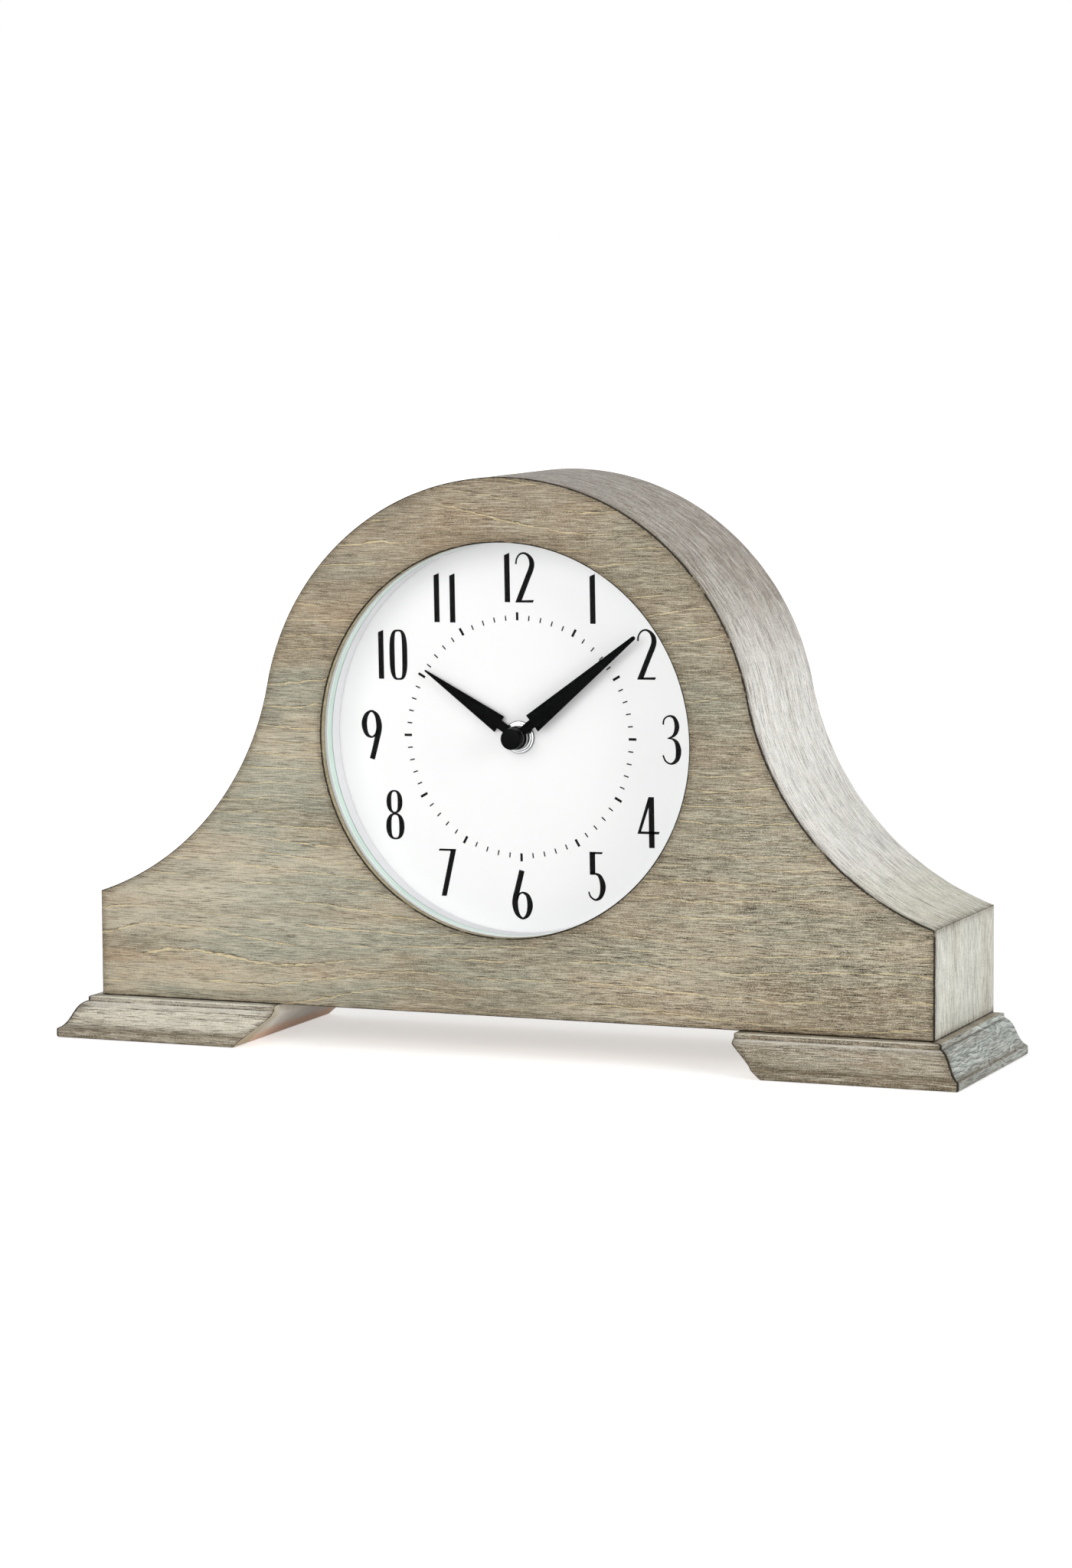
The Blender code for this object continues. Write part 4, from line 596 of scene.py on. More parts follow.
WOOD_FRONT = wood("washed_wood_front", (1, 0, 0), FRONT_TONES, front_edge, figure=0.9, seed=11.0,
                  contrast=1.2, tint=front_tint, gain=front_gain)
WOOD_BAND = wood("washed_wood_band", (1, 0, 1), BAND_TONES, band_edge, seed=23.0, contrast=1.7,
                 streaks=1.5, hues=0.6, tint=band_tint_and_painted_light, finish=band_plies)
WOOD_END = wood("washed_wood_end", (0, 0, 1), END_TONES, end_edge, seed=37.0, contrast=1.5,
                streaks=0.45, hues=0.35)
WOOD_FOOT = wood("washed_wood_foot", (1, 0, 0), FOOT_TONES, foot_edge, figure=0.3, seed=53.0,
                 contrast=1.6, streaks=1.5, tint=foot_tint, finish=foot_painted_light_and_shade)
WOOD_FOOT_SIDE = wood("washed_wood_foot_side", (0, 1, 0), SIDE_TONES, foot_edge, figure=1.0,
                      seed=71.0, contrast=1.5, streaks=1.6, hues=0.4, tint=foot_side_tint,
                      finish=side_ripple)
WOOD_INNER = wood("bare_wood", (1, 0, 0), INNER_TONES, figure=0.4, seed=90.0, contrast=0.5,
                  roughness=0.7)
WOOD_INNER_UPRIGHT = wood("bare_wood_upright", (0, 0, 1), INNER_TONES, seed=97.0, contrast=0.5,
                          roughness=0.7)


def sanded():
    """Cut and sanded wood of the feet's inner ends: pale, with bare pink wood near the floor."""
    paint = Paint("sanded_wood")
    cloud = paint.even_noise(0.10, 61.0, 4.0, 0.6)
    fine = paint.even_noise(1.8, 62.0, 3.0, 0.6)
    tone = paint.mix((236, 232, 223), (248, 246, 240), cloud.smooth(0.35, 0.65))
    low = paint.z + (cloud - 0.5) * 9.0
    tone = paint.blend(tone, low, ((240, 194, 162), 8.5, 3.0, 0.75))
    depth = paint.y - FRONT_Y + (cloud - 0.5) * 10.0
    tone = paint.blend(tone, depth, ((178, 166, 136), 9.0, -6.0, 0.8))
    tone = paint.blend(tone, fine, ((140, 130, 112), 0.55, 0.75, 0.35))
    return paint.surface(tone, 0.62 + fine * 0.1, fine, 0.05, 0.4)


def lip_wall():
    """Wall of the dial opening: olive wash, dark at both rims and pale behind the lip."""
    paint = Paint("opening_wall")
    depth = paint.y - FRONT_Y
    ragged = paint.even_noise(0.5, 63.0, 4.0, 0.7)
    tone = paint.mix((138, 126, 94), (170, 158, 128), ragged.smooth(0.40, 0.60))
    rims = depth.smooth(0.75, 0.45) + depth.smooth(3.25, 3.6)
    tone = paint.mix(tone, (38, 31, 22), rims.clamp() * ragged.smooth(0.36, 0.46) * 0.9)
    tone = paint.mix(tone, (240, 240, 235), depth.smooth(3.93, 3.97))
    return paint.surface(tone, 0.55 + ragged * 0.15, ragged, 0.04, 0.4)


SANDED = sanded()
LIP_WALL = lip_wall()


# Other materials

def fibreboard():
    """Pressed brown board with short pale and dark fibres lying every way."""
    paint = Paint("fibreboard_brown")
    cloud = paint.even_noise(0.020, 3.0, 4.0, 0.5)
    felt = paint.even_noise(0.45, 4.0, 3.0, 0.6, 1.5)
    fleck = paint.even_noise(1.7, 5.0, 3.0, 0.7, 1.0)
    tone = paint.mix((134, 104, 72), (144, 113, 80), cloud.smooth(0.35, 0.65))
    tone = paint.blend(tone, felt, ((158, 128, 92), 0.54, 0.66, 0.45))
    tone = paint.blend(tone, fleck, ((96, 72, 48), 0.55, 0.70, 0.6),
                       ((180, 152, 114), 0.42, 0.30, 0.5))
    return paint.surface(tone, 0.70 + fleck * 0.12, fleck, 0.08, 0.4)


def card(name, tint):
    """Satin white sheet with a faint tooth."""
    paint = Paint(name)
    tooth = paint.even_noise(2.5, 7.0, 2.0, 0.5)
    cloud = paint.even_noise(0.02, 8.0, 2.0, 0.5)
    shade = tuple(0.975 * c for c in srgb(*tint)[:3]) + (1.0,)
    tone = paint.mix(shade, tint, (cloud * 0.6 + tooth * 0.4).smooth(0.35, 0.6))
    return paint.surface(tone, 0.50 + tooth * 0.10, tooth, 0.01, 0.3)


def retaining_ring():
    """Pale green ring, white at its front rim as a painted highlight, and dark at its back rim."""
    paint = Paint("pale_green_gloss", Coat_Weight=0.3, Coat_Roughness=0.1)
    depth = paint.y - FRONT_Y
    cloud = paint.even_noise(0.05, 2.0, 2.0, 0.5)
    tone = paint.mix((194, 220, 208), (208, 230, 220), cloud.smooth(0.35, 0.65))
    # Painted highlight: the front rim is painted white.
    tone = paint.mix(tone, (250, 253, 252), depth.smooth(7.4, 7.1))
    tone = paint.blend(tone, depth, ((88, 94, 90), 11.50, 11.75, 0.9))
    return paint.surface(tone, 0.26 + cloud * 0.1)


def glass():
    """A nearly clear sheet that still reflects."""
    paint = Paint("clear_glass", Roughness=0.03, Alpha=0.012, IOR=1.5)
    smear = paint.even_noise(0.02, 4.0, 2.0, 0.5)
    return paint.surface(paint.mix((0.02, 0.03, 0.03, 1.0), (0.04, 0.05, 0.05, 1.0), smear))


def metal(name, dark, light, roughness, grain=0.0):
    """Metal with fine turning or rolling marks."""
    paint = Paint(name, Metallic=1.0)
    reach = axis_reach(paint)
    marks = paint.noise((reach * 6.0, paint.y * 6.0, paint.z * 0.3), 6.0, 2.0, 0.5)
    tone = paint.mix(dark, light, marks.smooth(0.35, 0.65))
    return paint.surface(tone, roughness + marks * 0.12, marks if grain else None, grain, 0.4)


def moulded(name, dark, light, roughness, grain=0.02, specular=0.5, rims=()):
    """Moulded plastic or sprayed paint. rims are (radius, depth) of edges that get painted glints.
    """
    paint = Paint(name, Specular_IOR_Level=specular)
    fine = paint.even_noise(4.0, 9.0, 2.0, 0.5)
    broad = paint.even_noise(0.15, 10.0, 2.0, 0.5)
    tone = paint.mix(dark, light, (broad * 0.5 + fine * 0.5).smooth(0.38, 0.62))
    if rims:
        reach = axis_reach(paint)
        depth = paint.y - FRONT_Y
        # Painted glints: pale rings along the given edges.
        for radius, rim_depth in rims:
            out, back = reach - radius, depth - rim_depth
            near = (out * out + back * back).root().smooth(0.30, 0.14)
            tone = paint.mix(tone, (206, 206, 204), near * fine.smooth(0.38, 0.52))
    return paint.surface(tone, roughness + (fine - 0.5) * 0.16, fine, grain, 0.5)


def turned_chrome():
    """Plated nut with dark lines painted in its turned steps and at its rim, as painted shade and
    dark reflections.
    """
    paint = Paint("bright_plate_turned", Metallic=1.0)
    reach = axis_reach(paint)
    marks = paint.noise((reach * 5.0, paint.x * 0.3, paint.z * 0.3), 6.0, 2.0, 0.5)
    tone = paint.mix((196, 198, 200), (236, 237, 238), marks.smooth(0.35, 0.65))
    # Painted shade and dark reflections: dark rings on the plate.
    for radius, width in ((7.25, 0.22), (6.22, 0.17), (5.35, 0.12)):
        line = (reach - radius).size().smooth(width, width * 0.5)
        tone = paint.mix(tone, (34, 34, 35), line)
    return paint.surface(tone, 0.10 + marks * 0.12)


def copper_winding():
    """Copper wire in close turns."""
    paint = Paint("copper_winding", Metallic=1.0)
    groove = ((paint.z * 5.0).fraction() - 0.5).size()
    tone = paint.mix((196, 110, 62), (120, 56, 28), groove.smooth(0.30, 0.5))
    return paint.surface(tone, 0.28 + groove * 0.2, groove.smooth(0.5, 0.2), 0.06, 0.8)


def circuit():
    """Green board, paler tracks."""
    paint = Paint("circuit_green")
    track = paint.noise((paint.x * 0.6, paint.y * 0.1, paint.z * 0.6), 12.0, 0.0, 0.5)
    lines = ((track * 9.0).fraction() - 0.5).size().smooth(0.13, 0.09)
    tone = paint.mix((22, 86, 44), (46, 124, 66), lines)
    return paint.surface(tone, 0.46 - lines * 0.12, lines, 0.03, 0.5)


BLACK = moulded("matt_black_paint", (2, 2, 2), (6, 6, 6), 0.50, 0.008, specular=0.02)
# The hub's rims get painted glints.
HUB_BLACK = moulded("hub_black", (2, 2, 2), (6, 6, 6), 0.40, 0.008, 0.03,
                    rims=((4.72, 13.85), (5.38, 16.15), (5.38, 17.05), (5.36, 17.6)))
PRINT = moulded("black_print", (9, 8, 8), (15, 14, 14), 0.55, 0.004, specular=0.06)
BLACK_PLASTIC = moulded("black_plastic", (16, 16, 17), (24, 24, 25), 0.38)
WHITE_PLASTIC = moulded("white_plastic", (218, 217, 210), (232, 231, 226), 0.42)
MAGNET = moulded("dark_magnet", (68, 68, 70), (84, 84, 86), 0.55)
RUBBER = moulded("black_rubber", (30, 30, 30), (42, 42, 41), 0.80, 0.04)
BATTERY = moulded("battery_jacket", (62, 63, 66), (72, 73, 76), 0.30)
CHROME = metal("bright_plate", (206, 207, 208), (232, 232, 232), 0.10)
NUT_CHROME = turned_chrome()
STEEL = metal("plain_steel", (158, 159, 161), (190, 191, 193), 0.28, 0.02)
BRASS = metal("plain_brass", (158, 132, 82), (190, 165, 112), 0.30, 0.02)
FIBRE = fibreboard()
DIAL_CARD = card("dial_white", (254, 254, 254))
WALL_CARD = card("spacer_white", (229, 229, 232))
GREEN = retaining_ring()
GLASS = glass()
COPPER = copper_winding()
CIRCUIT = circuit()

NODE_FINISH = {
    WOOD_INNER: ("bottom_board", "left_glue_block", "right_glue_block", "bottom_cleat",
                 "arch_cleat"),
    WOOD_INNER_UPRIGHT: ("left_cleat", "right_cleat"),
    FIBRE: ("back_panel", "back_door"),
    BRASS: ("door_knob", "minute_arbor", *(
        f"{level}_hinge_{part}" for level in ("lower", "upper")
        for part in ("fixed_leaf", "moving_leaf", "pin"))),
    WHITE_PLASTIC: ("catch_magnet", "third_wheel", "second_wheel", "intermediate_wheel",
                    "centre_wheel", "motion_wheel", "hour_wheel", "coil_bobbin"),
    STEEL: ("catch_strike", "stator", "coil_core", "positive_contact", "spring_contact",
            *(f"dial_screw_{i}" for i in range(1, 5))),
    GLASS: ("lens",),
    GREEN: ("lens_ring",),
    WALL_CARD: ("dial_spacer",),
    DIAL_CARD: ("dial",),
    BLACK: ("hour_hand", "minute_hand"),
    BLACK_PLASTIC: ("setting_knob", "movement_front_case", "movement_rear_case"),
    RUBBER: ("gasket",),
    MAGNET: ("rotor",),
    CHROME: ("quartz_crystal",),
    COPPER: ("coil_winding",),
    CIRCUIT: ("circuit_board",),
    BATTERY: ("battery",),
}
for material, names in NODE_FINISH.items():
    for name in names:
        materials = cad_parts[name].data.materials
        materials.clear()
        materials.append(material)


# Case

def make_front():
    """Front board with a rounded outline and a rounded rim at the opening."""
    outer = outline(0.0, 0.0, 0.0)
    turns = [math.atan2(z - AXIS_Z, x) for x, z in outer]

    def hole(radius, depth):
        return [(radius * math.cos(a), FRONT_Y + depth, AXIS_Z + radius * math.sin(a))
                for a in turns]

    def edge(inset, end, bottom, depth):
        return [(x, FRONT_Y + depth, z) for x, z in outline(inset, end, bottom)]

    corner = round_steps(EDGE)
    core = (BAND_THICKNESS + SEAM, END_THICKNESS + SEAM, END_THICKNESS + SEAM)
    rings = [edge(a, a, a, d) for a, d in corner]
    rings += [edge(0.0, 0.0, 0.0, FACE_LAYER), edge(*core, FACE_LAYER),
              edge(*core, FRONT_THICKNESS), hole(REBATE_RADIUS, FRONT_THICKNESS),
              hole(REBATE_RADIUS, LIP_DEPTH), hole(OPENING_RADIUS, LIP_DEPTH)]
    rings += [hole(OPENING_RADIUS + a, d) for a, d in reversed(corner)]
    bm = bmesh.new()
    loft(bm, rings, closed=True)
    piece = add_piece("front_board", bm, WOOD_FRONT)
    piece.data.materials.append(LIP_WALL)
    for face in piece.data.polygons:
        reach = math.hypot(face.center.x, face.center.z - AXIS_Z * MM) / MM
        depth = face.center.y / MM - FRONT_Y
        if reach < REBATE_RADIUS + 0.1 and depth > WALL_FRONT:
            face.material_index = 1
    stand_in(piece, "front_panel")


def board_section(thickness):
    """(inset, depth) points across the band or an end, its outer edges rounded."""
    depth = BODY_DEPTH - BAND_FRONT
    corner = round_steps(EDGE)
    back = [(a, depth - d) for a, d in reversed(corner)]
    return corner + back + [(thickness, depth), (thickness, 0.0)]


def make_band():
    """Bent skin with rounded front and back edges."""
    share = END_THICKNESS / BAND_THICKNESS
    section = board_section(BAND_THICKNESS)
    lines = [crown(a, a * share) for a, _ in section]
    rings = []
    for points in zip(*lines):
        rings.append([(x, FRONT_Y + BAND_FRONT + d, z) for (x, z), (_, d) in zip(points, section)])
    bm = bmesh.new()
    loft(bm, rings)
    stand_in(add_piece("bent_band", bm, WOOD_BAND), "arch_band")


def make_ends():
    """Upright ends with rounded outer edges, mitred to the band."""
    top = crown(0.0, 0.0)[0]
    inner = crown(BAND_THICKNESS, END_THICKNESS)[0]
    slope = (top[1] - inner[1]) / (top[0] - inner[0])
    front = FRONT_Y + BAND_FRONT
    for name, side in (("left_end", -1), ("right_end", 1)):
        low = [(side * (HALF_WIDTH - a), front + d, FOOT_HEIGHT)
               for a, d in board_section(END_THICKNESS)]
        high = [(x, y, top[1] - MITRE_GAP - slope * (HALF_WIDTH - abs(x))) for x, y, _ in low]
        bm = bmesh.new()
        loft(bm, [low, high])
        stand_in(add_piece(name, bm, WOOD_END), name + "_panel")


def foot_profile():
    """(projection, drop) points of the moulding: rounded step, fillet, ogee and bead."""
    quarter = round_steps(BEAD_EDGE)
    upper = [(LEDGE - a, SEAM + d) for a, d in quarter]
    start = Vector((LEDGE, FILLET))
    end = Vector((BEAD_PROJECTION - BEAD_EDGE, FOOT_HEIGHT - BEAD_HEIGHT))
    first = start + Vector((OGEE_FULLNESS, OGEE_DROP))
    second = end - Vector((OGEE_FULLNESS - BEAD_EDGE, OGEE_TOE))
    ogee = []
    for i in range(OGEE_STEPS + 1):
        t = i / OGEE_STEPS
        point = (start * (1 - t) ** 3 + first * 3 * t * (1 - t) ** 2
                 + second * 3 * t ** 2 * (1 - t) + end * t ** 3)
        ogee.append((point.x, point.y))
    bead = [(BEAD_PROJECTION - a, FOOT_HEIGHT - BEAD_HEIGHT + d) for a, d in quarter]
    bead += [(BEAD_PROJECTION - a, FOOT_HEIGHT - d) for a, d in reversed(quarter)]
    return upper + ogee + bead[1:]


def make_feet():
    """Feet with separate materials on the front moulding and the mitred side moulding."""
    rows = foot_profile()
    for name, side in (("left", -1), ("right", 1)):
        rings = []
        for reach, drop in rows:
            slope = max(0.0, drop - FOOT_CUT_STEP) / (FOOT_HEIGHT - FOOT_CUT_STEP)
            inner = side * (FOOT_INNER + FOOT_CUT_RUN * slope)
            outer = side * (HALF_WIDTH + reach)
            z = FOOT_HEIGHT - drop
            front = FRONT_Y - reach
            rings.append([(inner, front, z), (outer - side * FOOT_BEVEL, front, z),
                          (outer, front + FOOT_BEVEL, z), (outer, BACK_Y, z), (inner, BACK_Y, z)])
        bm = bmesh.new()
        loft(bm, rings)
        piece = add_piece(name + "_foot_moulding", bm, WOOD_FOOT)
        piece.data.materials.append(WOOD_FOOT_SIDE)
        piece.data.materials.append(SANDED)
        for face in piece.data.polygons:
            outward = side * face.normal.x
            beside = side * face.center.x > (HALF_WIDTH - 1.0) * MM
            if beside and outward > 0.5 * abs(face.normal.y):
                face.material_index = 1
            elif outward < -0.3 or face.normal.z < -0.95:
                face.material_index = 2
        stand_in(piece, name + "_foot")


# Dial print

def ribbon(bm, stations, front, back, closed=False):
    """A flat band of varying width: stations are (x, z, half width), already placed."""
    count = len(stations)
    rings = []
    for i, (x, z, half) in enumerate(stations):
        before = stations[i - 1] if i or closed else stations[i]
        after = stations[(i + 1) % count] if i < count - 1 or closed else stations[i]
        ahead = Vector((after[0] - before[0], after[1] - before[1])).normalized()
        side = Vector((-ahead.y, ahead.x)) * half
        rings.append([(x + sign * side.x, y, z + sign * side.y)
                      for sign, y in ((1, front), (-1, front), (-1, back), (1, back))])
    loft(bm, rings, closed)


def curve(points):
    """Smooth row of stations through the given (x, z, half width) points."""
    made = []
    ends = [points[0]] + list(points) + [points[-1]]
    for a, b, c, d in zip(ends, ends[1:], ends[2:], ends[3:]):
        for i in range(STROKE_STEPS):
            t = i / STROKE_STEPS
            made.append(tuple(
                0.5 * (2 * q + (r - p) * t + (2 * p - 5 * q + 4 * r - s) * t * t
                       + (3 * q - p - 3 * r + s) * t ** 3) for p, q, r, s in zip(a, b, c, d)))
    return made + [tuple(points[-1])]


def bowl(x, z, across, up, thick, thin, power):
    """Closed oval stroke, thick at its sides and thin at top and bottom."""
    made = []
    for i in range(BOWL_STEPS):
        turn = 2 * math.pi * i / BOWL_STEPS
        c, s = math.cos(turn), math.sin(turn)
        px = math.copysign(abs(c) ** (2 / power), c)
        pz = math.copysign(abs(s) ** (2 / power), s)
        weight = abs(px) ** 2.2
        made.append((x + across * px, z + up * pz, thin + (thick - thin) * weight))
    return made


# Strokes of each figure, from its left edge and its foot. A block is a row of corners, a curve a
# row of (x, z, half width), and a bowl the arguments of the function
GLYPHS = {
    "0": [["bowl", 4.35, 11, 3.1, 10.95, 1.25, 0.4, 3.4]],
    "1": [["block", (0, 0), (2.55, 0), (2.55, 22.1), (0, 21)]],
    "2": [["curve", (0.62, 17.1, 0.4), (0.95, 19.3, 0.36), (2.3, 21.3, 0.38), (4.4, 22, 0.42),
           (6.55, 21, 0.66), (7.95, 18.9, 1.08), (8.2, 16.6, 1.22), (7.5, 14.2, 1.24),
           (6.6, 12.2, 1.24)],
          ["block", (7.81, 11.87), (5.55, 12.89), (0, 0), (2.7, 0)],
          ["block", (1, 0), (8.45, 0), (8.95, 1.15), (2.4, 0.95)]],
    "3": [["curve", (0.75, 17.8, 0.38), (1.35, 20.3, 0.35), (3.6, 21.65, 0.38), (6, 20.8, 0.75),
           (7.2, 17.5, 1.12), (6.6, 14.4, 0.95), (5, 12.55, 0.5), (2.7, 11.75, 0.12)],
          ["curve", (2.7, 11.65, 0.12), (5.2, 11.4, 0.42), (7.1, 9.6, 0.98), (7.8, 5.9, 1.28),
           (6.9, 2.2, 0.95), (4.3, 0.45, 0.42), (1.7, 1.6, 0.38), (0.5, 4.2, 0.36)]],
    "4": [["block", (5.45, 0), (8.05, 0), (8.05, 22.7), (5.45, 22.7)],
          ["block", (0, 6.2), (1.75, 7.3), (5.7, 18.8), (5.45, 22.7)],
          ["block", (0, 6.2), (10.1, 6.2), (10.5, 7.3), (1, 7.3)]],
    "5": [["block", (1.05, 11.75), (3.65, 11.75), (3.65, 22), (1.05, 22)],
          ["block", (1.05, 21.1), (6.9, 21.1), (7.4, 22), (1.05, 22)],
          ["curve", (1.05, 12.1, 0.35), (3.6, 12.25, 0.38), (5.9, 10.9, 0.9), (7.2, 6.6, 1.33),
           (6.1, 2.1, 0.9), (3.6, 0.5, 0.44), (1.3, 1.8, 0.4), (0.35, 4.1, 0.34)]],
    "6": [["curve", (4.95, 22.3, 1.28), (3.75, 17.8, 1.28), (2.6, 13.6, 1.3), (1.55, 9.6, 1.36),
           (1.42, 6.3, 1.38), (2.5, 2.6, 1.02), (5, 0.62, 0.48), (7.5, 2.5, 1),
           (8.6, 6.7, 1.34), (7.6, 10.8, 0.95), (5.2, 12.3, 0.42), (3.2, 11.2, 0.45),
           (2.3, 9, 0.6)]],
    "7": [["block", (3.5, 0), (1.05, 0), (6.05, 21.4), (8.55, 21.4)],
          ["block", (0, 20.5), (8.3, 20.5), (8.55, 21.4), (0.5, 21.4)]],
    "8": [["bowl", 4.3, 17.1, 2.75, 4.95, 1.16, 0.38, 2.3],
          ["bowl", 4.5, 5.95, 3.2, 5.6, 1.28, 0.38, 2.4]],
    "9": [["curve", (4.85, 0, 1.26), (6.1, 4.3, 1.26), (7.25, 8.6, 1.28), (8.35, 13, 1.36),
           (8.45, 16.2, 1.38), (7.4, 19.9, 1.02), (4.85, 21.75, 0.46), (2.3, 19.8, 1),
           (1.25, 15.8, 1.32), (2.3, 11.5, 0.95), (4.7, 9.95, 0.42), (6.8, 11.3, 0.5),
           (7.6, 13.4, 0.6)]],
}
FIGURE_MIDDLE = (4, 11)
# Text, left edge of each figure and foot of them all, from the dial's middle
NUMERALS = (
    ("12", (-6.75, -1.7), 60.3), ("1", (34.1,), 51.6), ("2", (56.2,), 27.4),
    ("3", (67.9,), -10), ("4", (56.2,), -47.4), ("5", (32.5,), -72.2), ("6", (-3.95,), -82.3),
    ("7", (-39.5,), -73.1), ("8", (-65.4,), -48.4), ("9", (-76.9,), -12.2),
    ("10", (-68.4, -62.95), 24.4), ("11", (-40.95, -33.3), 50.6),
)


def make_figure(name, figure, left, foot, depths):
    """One figure of a numeral, turned about its own middle with the print."""
    tilt = Matrix.Rotation(math.radians(DIAL_TURN), 2)
    middle = Vector((left + FIGURE_MIDDLE[0], foot + FIGURE_MIDDLE[1]))

    def placed(x, z, *half):
        spot = tilt @ (Vector((left + x, foot + z)) - middle) + middle
        return (spot.x, AXIS_Z + spot.y, *half)

    bm = bmesh.new()
    for kind, *data in GLYPHS[figure]:
        if kind == "block":
            corners = [placed(*point) for point in data]
            loft(bm, [[(x, y, z) for x, z in corners] for y in depths])
        elif kind == "curve":
            ribbon(bm, [placed(*station) for station in curve(data)], *depths)
        else:
            ribbon(bm, [placed(*station) for station in bowl(*data)], *depths, closed=True)
    add_piece(name, bm, PRINT)


def make_print():
    """Numerals and minute marks, a thin raised print on the dial."""
    depths = (FRONT_Y + DIAL_FACE - PRINT_FRONT, FRONT_Y + DIAL_FACE - PRINT_BACK)
    for text, lefts, foot in NUMERALS:
        for position, (figure, left) in enumerate(zip(text, lefts)):
            make_figure(f"numeral_{text}_figure_{position + 1}", figure, left, foot, depths)
    bm = bmesh.new()
    for minute in range(60):
        outer, half = MINUTE_MARK if minute % 5 else HOUR_MARK
        turn = math.radians(6.0 * minute - DIAL_TURN)
        ahead = Vector((math.sin(turn), math.cos(turn)))
        side = Vector((ahead.y, -ahead.x)) * half
        low, high = ahead * MARK_INNER, ahead * outer
        corners = [low - side, low + side, high + side, high - side]
        loft(bm, [[(p.x, y, AXIS_Z + p.y) for p in corners] for y in depths])
    add_piece("minute_marks", bm, PRINT)


# Hub of the hands

def make_hub():
    """Cap, collet and nut with turned steps, as (radius, depth) points."""
    cap = [(0.0, 9.3), (4.2, 9.3), (4.45, 9.36), (4.62, 9.48), (4.72, 9.66), (4.75, 9.9),
           (4.75, 12.7), (4.6, 12.8), (4.6, 13.05), (4.75, 13.15), (4.75, 13.8), (4.65, 13.95),
           (1.6, 13.95), (1.6, 11.2), (0.0, 11.2)]
    stand_in(turned_piece("cap", cap, HUB_BLACK, "minute_work"), "hand_cap")
    collet = [(2.9, 16.05), (5.25, 16.05), (5.36, 16.1), (5.4, 16.2), (5.4, 16.6), (5.25, 16.7),
              (5.25, 17.0), (5.4, 17.1), (5.4, 17.55), (5.3, 17.65), (2.9, 17.65)]
    stand_in(turned_piece("collet", collet, HUB_BLACK, "hour_work"), "hour_collet")
    nut = [(4.3, 18.9), (6.0, 18.9), (6.15, 18.95), (6.2, 19.05), (6.2, 19.3), (6.9, 19.35),
           (7.15, 19.45), (7.3, 19.65), (7.3, 20.0), (4.3, 20.0)]
    stand_in(turned_piece("nut", nut, NUT_CHROME), "fixing_nut")


# Small fasteners

def screw_head(name, x, z, seat, material, body="case", radius=SCREW_RADIUS, tilt=0.0):
    """Countersunk head with a cross recess, facing backwards; seat is its depth."""
    arm = radius * 0.62
    half = radius * 0.14
    turn = math.radians(tilt)
    rim = arc((0.0, 0.0), radius, 0.0, 2 * math.pi, SCREW_STEPS)[:-1]

    def ring(points, scale, rise):
        return [(x + scale * (u * math.cos(turn) - w * math.sin(turn)), FRONT_Y + seat + rise,
                 z + scale * (u * math.sin(turn) + w * math.cos(turn))) for u, w in points]

    cross = []
    for u, w in rim:
        angle = math.atan2(w, u)
        c, s = abs(math.cos(angle)), abs(math.sin(angle))
        reach = min(arm / max(c, s), half / max(min(c, s), 1e-6))
        cross.append((reach * math.cos(angle), reach * math.sin(angle)))
    bm = bmesh.new()
    loft(bm, [ring(rim, 1.0, -0.5), ring(rim, 1.0, 0.12), ring(rim, 0.86, 0.42),
              ring(cross, 1.0, 0.5), ring(cross, 0.35, -0.3)])
    piece = add_piece(name, bm, material, body, smooth=30.0)
    return piece


def make_screws():
    """Screws of the back panel and the hinge leaves."""
    back = BODY_DEPTH - BACK_RECESS
    for i, (x, z) in enumerate(BACK_SCREWS):
        screw_head(f"back_screw_{i + 1}", x, z, back, STEEL, tilt=17.0 + 31.0 * i)
    seat = back + SEAM + LEAF_THICKNESS - 0.35
    axis = -(DOOR_WIDTH + DOOR_CLEARANCE) / 2
    reach = DOOR_HEIGHT / 2 - HINGE_INSET
    for name, offset in (("lower", -reach), ("upper", reach)):
        middle = AXIS_Z - DOOR_DROP + offset
        for kind, side, body in (("fixed", -1, "case"), ("moving", 1, "rear_door")):
            for i, rise in enumerate((-LEAF_RISE, LEAF_RISE)):
                screw_head(f"{name}_hinge_{kind}_screw_{i + 1}", axis + side * LEAF_OUT,
                           middle + rise, seat, BRASS, body, LEAF_SCREW_RADIUS,
                           tilt=23.0 * (i + 1) + side * 12.0)


# Camera, light and floor

def make_camera():
    """The photo's camera."""
    yaw, pitch, roll = (math.radians(a) for a in CAMERA_TURNS)
    back = Vector((math.sin(yaw) * math.cos(pitch), -math.cos(yaw) * math.cos(pitch),
                   math.sin(pitch)))
    right = Vector((math.cos(yaw), math.sin(yaw), 0.0))
    up = back.cross(right)
    across = right * math.cos(roll) + up * math.sin(roll)
    above = up * math.cos(roll) - right * math.sin(roll)
    turn = Matrix((across, above, back)).transposed().to_4x4()
    data = bpy.data.cameras.new("camera")
    data.sensor_width = 36.0
    data.lens = CAMERA_LENS
    data.clip_end = 50.0
    camera = link(bpy.data.objects.new("camera", data))
    camera.matrix_world = Matrix.Translation(CAMERA_PLACE) @ turn
    bpy.context.scene.camera = camera


def softbox(name, place, target, size, power):
    """Rectangular lamp facing a target."""
    data = bpy.data.lights.new(name, "AREA")
    data.shape = "RECTANGLE"
    data.size, data.size_y = size
    data.energy = power
    lamp = link(bpy.data.objects.new(name, data))
    lamp.location = place
    lamp.rotation_euler = (Vector(target) - Vector(place)).to_track_quat("-Z", "Y").to_euler()


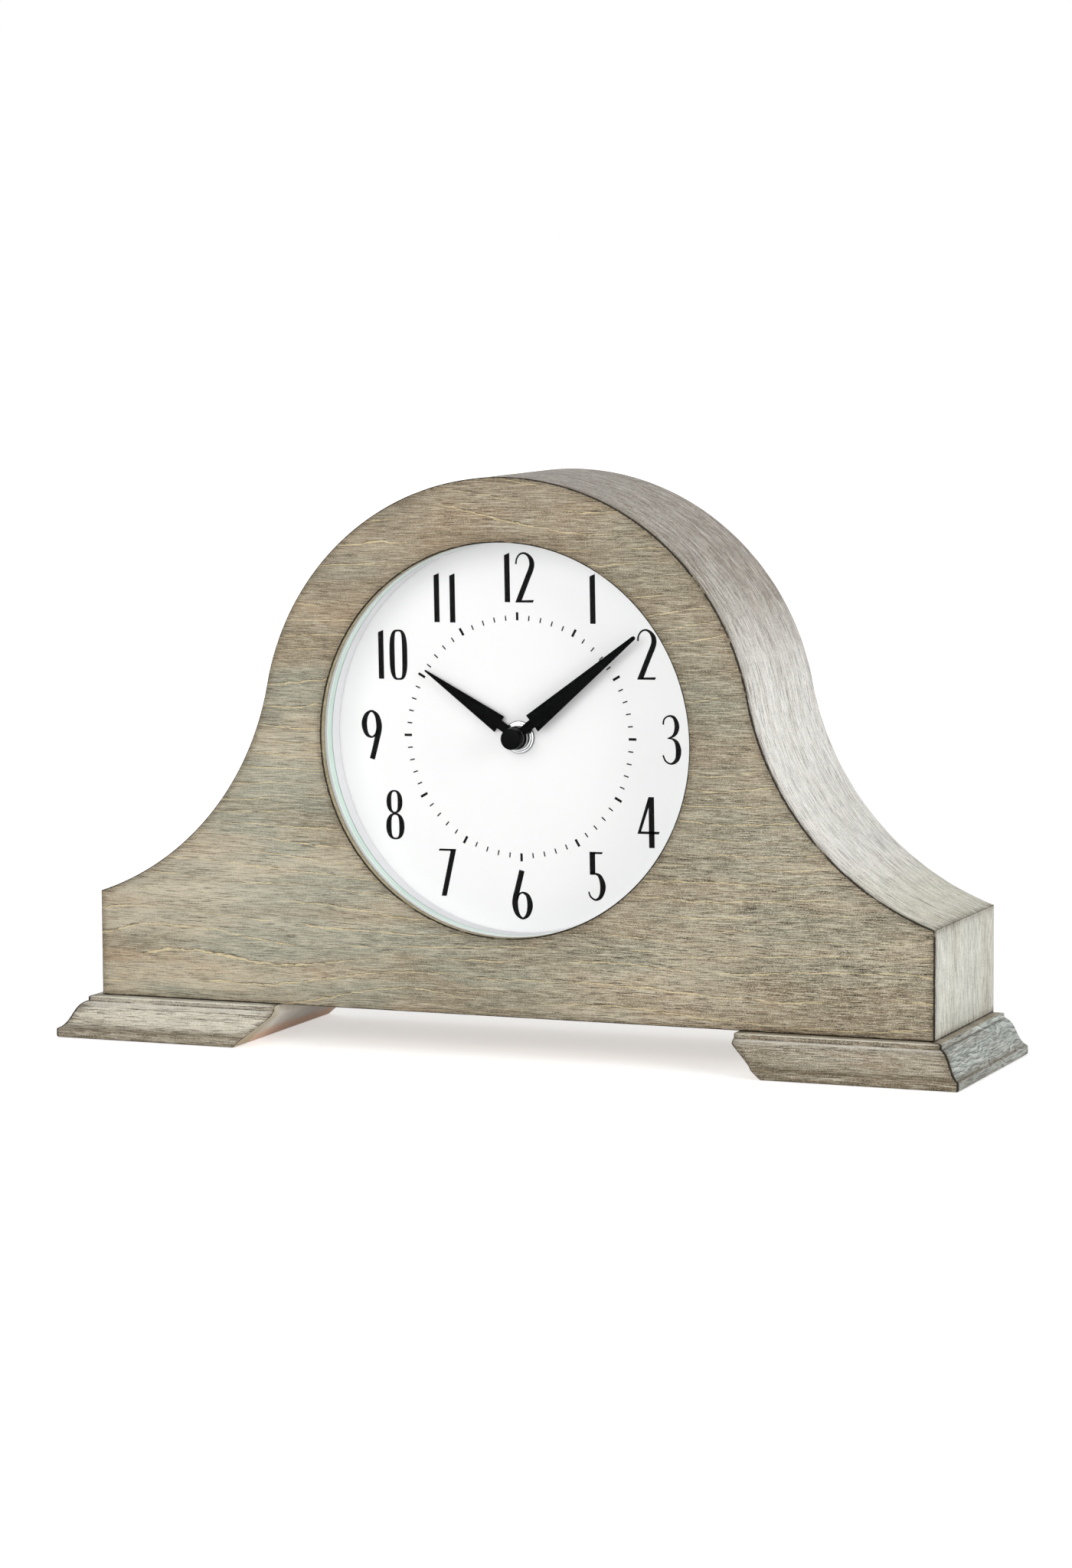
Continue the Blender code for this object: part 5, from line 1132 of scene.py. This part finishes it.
def seen(tree):
    """1 for a camera, glossy or transmission ray."""
    rays = tree.nodes.new("ShaderNodeLightPath")
    camera, glossy, through = (Field(tree, rays.outputs[f"Is {kind} Ray"])
                               for kind in ("Camera", "Glossy", "Transmission"))
    return (camera + glossy + through).clamp()


def make_surroundings():
    """White sky and floor, brighter where a ray sees them than where they light the clock."""
    world = bpy.data.worlds.new("studio")
    bpy.context.scene.world = world
    world.use_nodes = True
    tree = world.node_tree
    level = seen(tree) * 0.5 + 0.5
    sky = tree.nodes["Background"]
    sky.inputs["Color"].default_value = (1.0, 1.0, 1.0, 1.0)
    tree.links.new(level.socket, sky.inputs["Strength"])

    paint = Paint("floor_white", Roughness=0.9, Specular_IOR_Level=0.1)
    soft = paint.even_noise(0.004, 1.0, 2.0, 0.5)
    tone = paint.mix((0.88, 0.88, 0.88, 1.0), (0.90, 0.90, 0.90, 1.0), soft)
    lit = seen(paint.tree)
    paint.shader.inputs["Emission Color"].default_value = (1.0, 1.0, 1.0, 1.0)
    away = (paint.x * paint.x + paint.y * paint.y).root().smooth(300.0, 1300.0)
    glow = lit * (away * 0.5 + 0.5)
    paint.tree.links.new(glow.socket, paint.shader.inputs["Emission Strength"])
    bm = bmesh.new()
    bmesh.ops.create_grid(bm, x_segments=4, y_segments=4, size=FLOOR_HALF)
    mesh = bpy.data.meshes.new("floor")
    bm.to_mesh(mesh)
    bm.free()
    mesh.materials.append(paint.surface(tone))
    floor = link(bpy.data.objects.new("floor", mesh))
    floor.location = (0.0, 0.0, -FLOOR_DROP)


def main():
    make_front()
    make_band()
    make_ends()
    make_feet()
    make_print()
    make_hub()
    make_screws()
    make_camera()
    softbox("front_softbox", place=(-0.4, -2.45, 0.86), target=(0.0, 0.0, 0.13),
            size=(2.2, 1.6), power=28.5)
    softbox("right_softbox", place=(2.2, -0.6, 0.75), target=(0.0, 0.0, 0.12),
            size=(1.2, 1.2), power=24.0)
    make_surroundings()
    bpy.context.scene.view_settings.view_transform = "Standard"


main()
